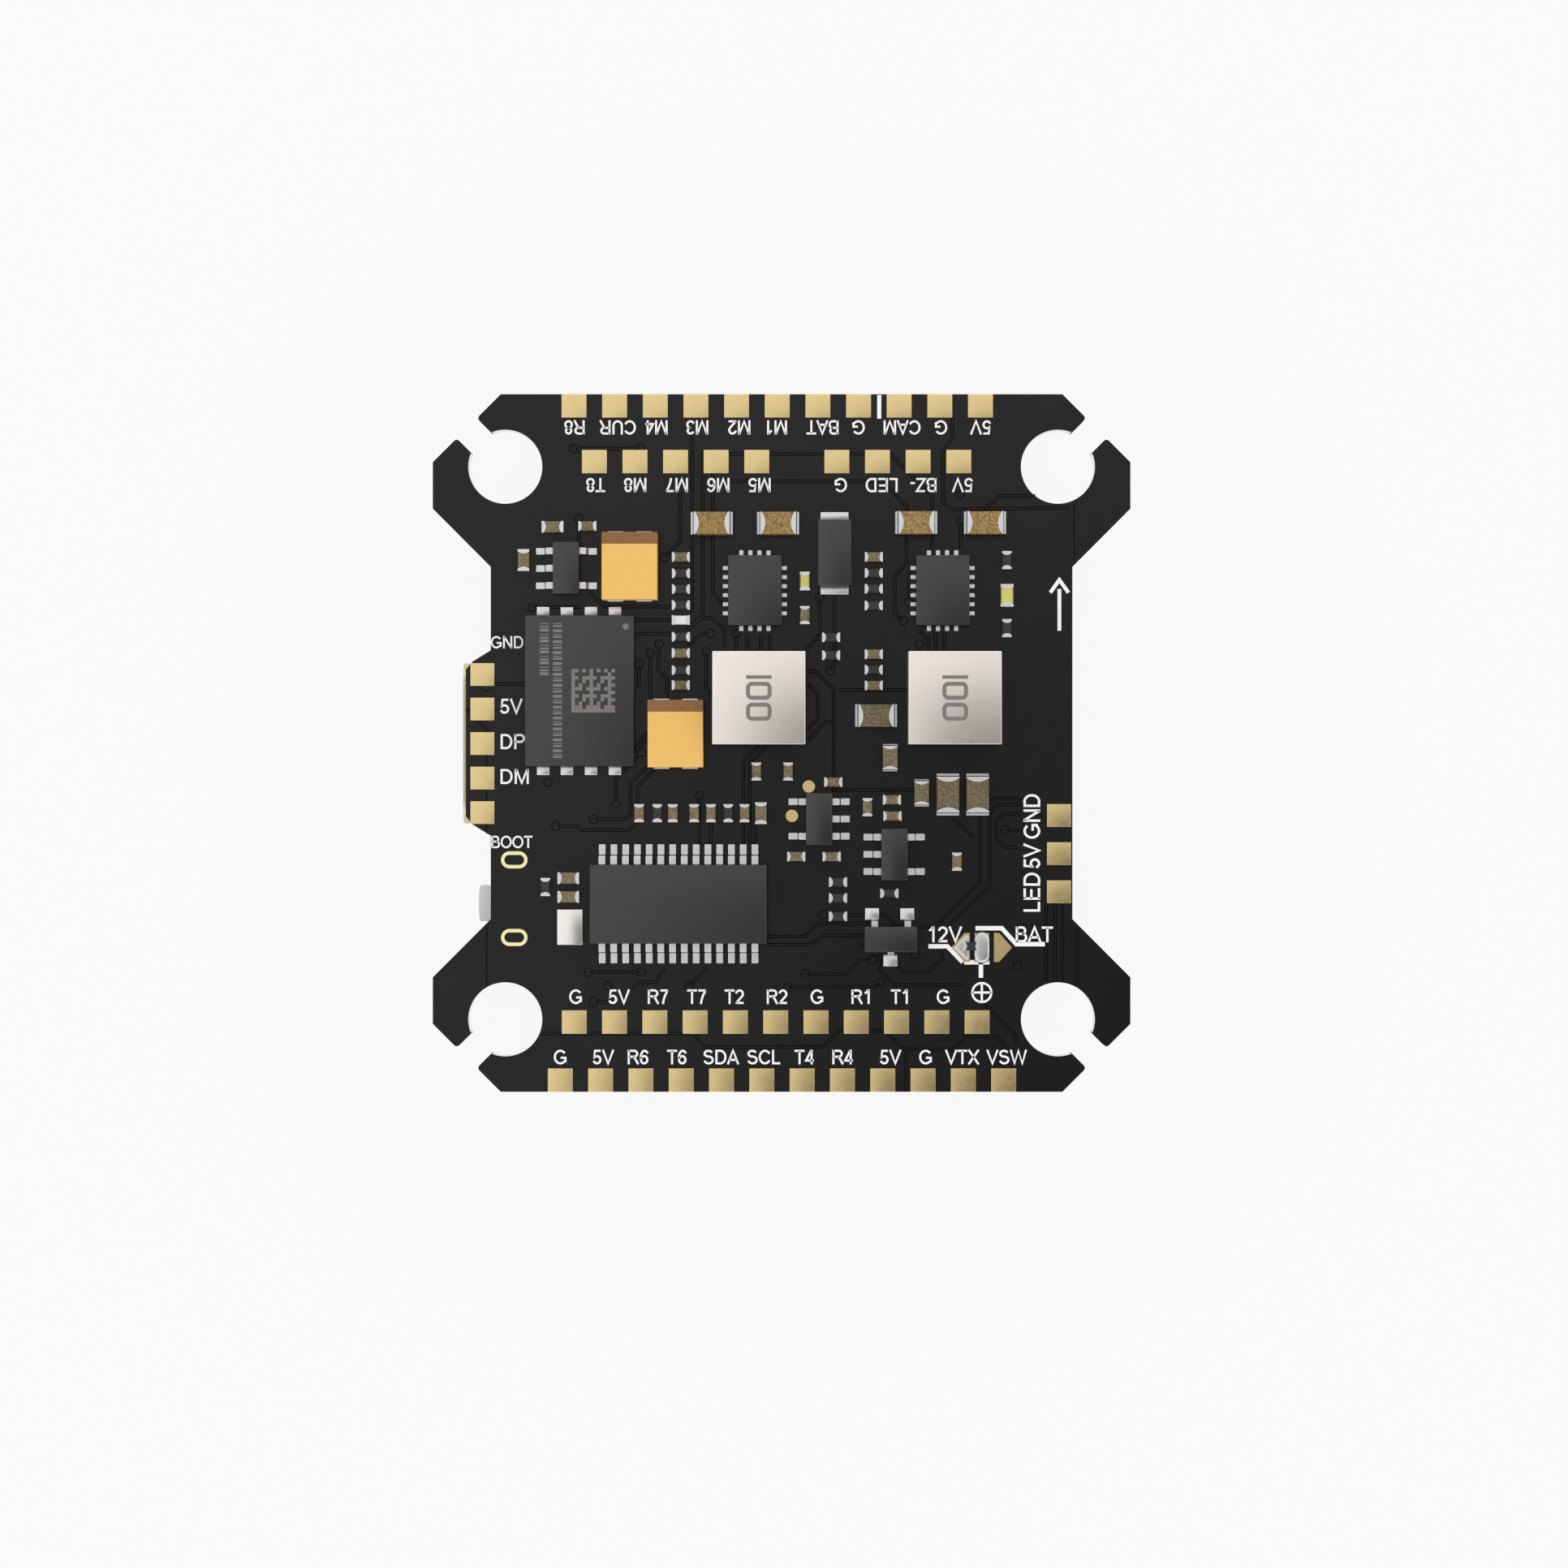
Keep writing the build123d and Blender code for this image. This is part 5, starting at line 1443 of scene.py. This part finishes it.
copper_tracks("top_tracks", TOP_TRACKS, TOP_VIAS, TOP, 1)
copper_gaps()
copper_tracks("under_tracks", UNDER_TRACKS, UNDER_VIAS, UNDER, -1)
top_legend()
under_legend()
inductor_marks()
tantalum_bands()
flash_marks()
jumper_mounds()
plated_caps("large_capacitor_caps", "large_capacitor_terminals", "large_capacitor_bodies", 0.045)
plated_caps("small_capacitor_caps", "small_capacitor_terminals", "small_capacitor_bodies", 0.03)
bend_shade_strips("display_chip_bend_shade", "display_chip_leads", "display_chip_body", 0.46, 0.15)
bend_shade_strips("regulator_bend_shade", "regulator_leads", "regulator_bodies", 0.38, 0.15)
slot_shade_plugs()
hole_linings()


# ---- Stage -----------------------------------------------------------------------------------
FRAME_WIDTH = 86.53          # what the picture's width covers at the board's top face
LENS = 104.0
SENSOR = 36.0
VIEW_CENTRE = (0.134, -2.262)
LOW_LIGHT = 1.3              # how bright the studio is near the horizon
OVERHEAD_LIGHT = 0.15
FADE = (0.55, 0.97)          # how far up the sky the low light starts and ends its fade
PANEL_HEIGHT = 800.0
PANEL_REACH = 430.0          # from the zenith to the panels' outer edges
PANEL_CORNER = (-14.0, 25.0)  # inner corner of the L that the two panels make
PANEL_GLOW = 0.74


def floor():
    """A plain pale floor under the lowest part."""
    mesh = bmesh.new()
    low = cad_bounds[0].z / MM
    reach, gap = 2500.0, 0.01
    corners = [(-reach, -reach), (reach, -reach), (reach, reach), (-reach, reach)]
    mesh.faces.new([mesh.verts.new((x * MM, y * MM, (low - gap) * MM)) for x, y in corners])
    data = bpy.data.meshes.new("floor")
    mesh.to_mesh(data)
    mesh.free()
    piece = bpy.data.objects.new("floor", data)
    bpy.context.scene.collection.objects.link(piece)
    paint = bpy.data.materials.new("floor_paint")
    paint.use_nodes = True
    shader = paint.node_tree.nodes["Principled BSDF"]
    shader.inputs["Base Color"].default_value = (0.06, 0.06, 0.06, 1)
    shader.inputs["Roughness"].default_value = 0.9
    shader.inputs["Specular IOR Level"].default_value = 0.0
    shader.inputs["Emission Color"].default_value = (1, 1, 1, 1)
    shader.inputs["Emission Strength"].default_value = 0.9
    data.materials.append(paint)


def overhead_panels():
    """Two soft panels overhead that make an L: one on the left, and one at the upper right."""
    corner_x, corner_y = PANEL_CORNER
    spans = {
        "left_panel": ((-PANEL_REACH, corner_x), (-PANEL_REACH, PANEL_REACH)),
        "upper_panel": ((corner_x, PANEL_REACH), (corner_y, PANEL_REACH)),
    }
    for name, ((left, right), (lower, upper)) in spans.items():
        data = bpy.data.lights.new(name, "AREA")
        data.shape = "RECTANGLE"
        data.size = (right - left) * MM
        data.size_y = (upper - lower) * MM
        data.energy = PANEL_GLOW * math.pi * data.size * data.size_y
        lamp = bpy.data.objects.new(name, data)
        lamp.location = Vector(((left + right) / 2, (lower + upper) / 2, PANEL_HEIGHT)) * MM
        bpy.context.scene.collection.objects.link(lamp)


def world():
    """A pale studio: bright low down all round, and dimmer overhead, where the panels hang."""
    made = bpy.data.worlds.new("studio")
    made.use_nodes = True
    tree = made.node_tree
    direction = tree.nodes.new("ShaderNodeTexCoord")
    parts = tree.nodes.new("ShaderNodeSeparateXYZ")
    fade = tree.nodes.new("ShaderNodeMapRange")
    fade.interpolation_type = "SMOOTHSTEP"
    fade.inputs["From Min"].default_value = FADE[0]
    fade.inputs["From Max"].default_value = FADE[1]
    fade.inputs["To Min"].default_value = LOW_LIGHT
    fade.inputs["To Max"].default_value = OVERHEAD_LIGHT
    tree.links.new(direction.outputs["Generated"], parts.inputs["Vector"])
    tree.links.new(parts.outputs["Z"], fade.inputs["Value"])
    tree.links.new(fade.outputs["Result"], tree.nodes["Background"].inputs["Strength"])
    tree.nodes["Background"].inputs["Color"].default_value = (1, 1, 1, 1)
    bpy.context.scene.world = made


def camera():
    """A long lens straight above the board."""
    data = bpy.data.cameras.new("camera")
    data.lens = LENS
    data.sensor_width = SENSOR
    data.clip_start = 0.001
    data.clip_end = 20
    made = bpy.data.objects.new("camera", data)
    distance = FRAME_WIDTH * LENS / SENSOR
    made.location = Vector((VIEW_CENTRE[0], VIEW_CENTRE[1], TOP + distance)) * MM
    bpy.context.scene.collection.objects.link(made)
    bpy.context.scene.camera = made


floor()
world()
overhead_panels()
camera()
bpy.context.scene.view_settings.view_transform = "Standard"
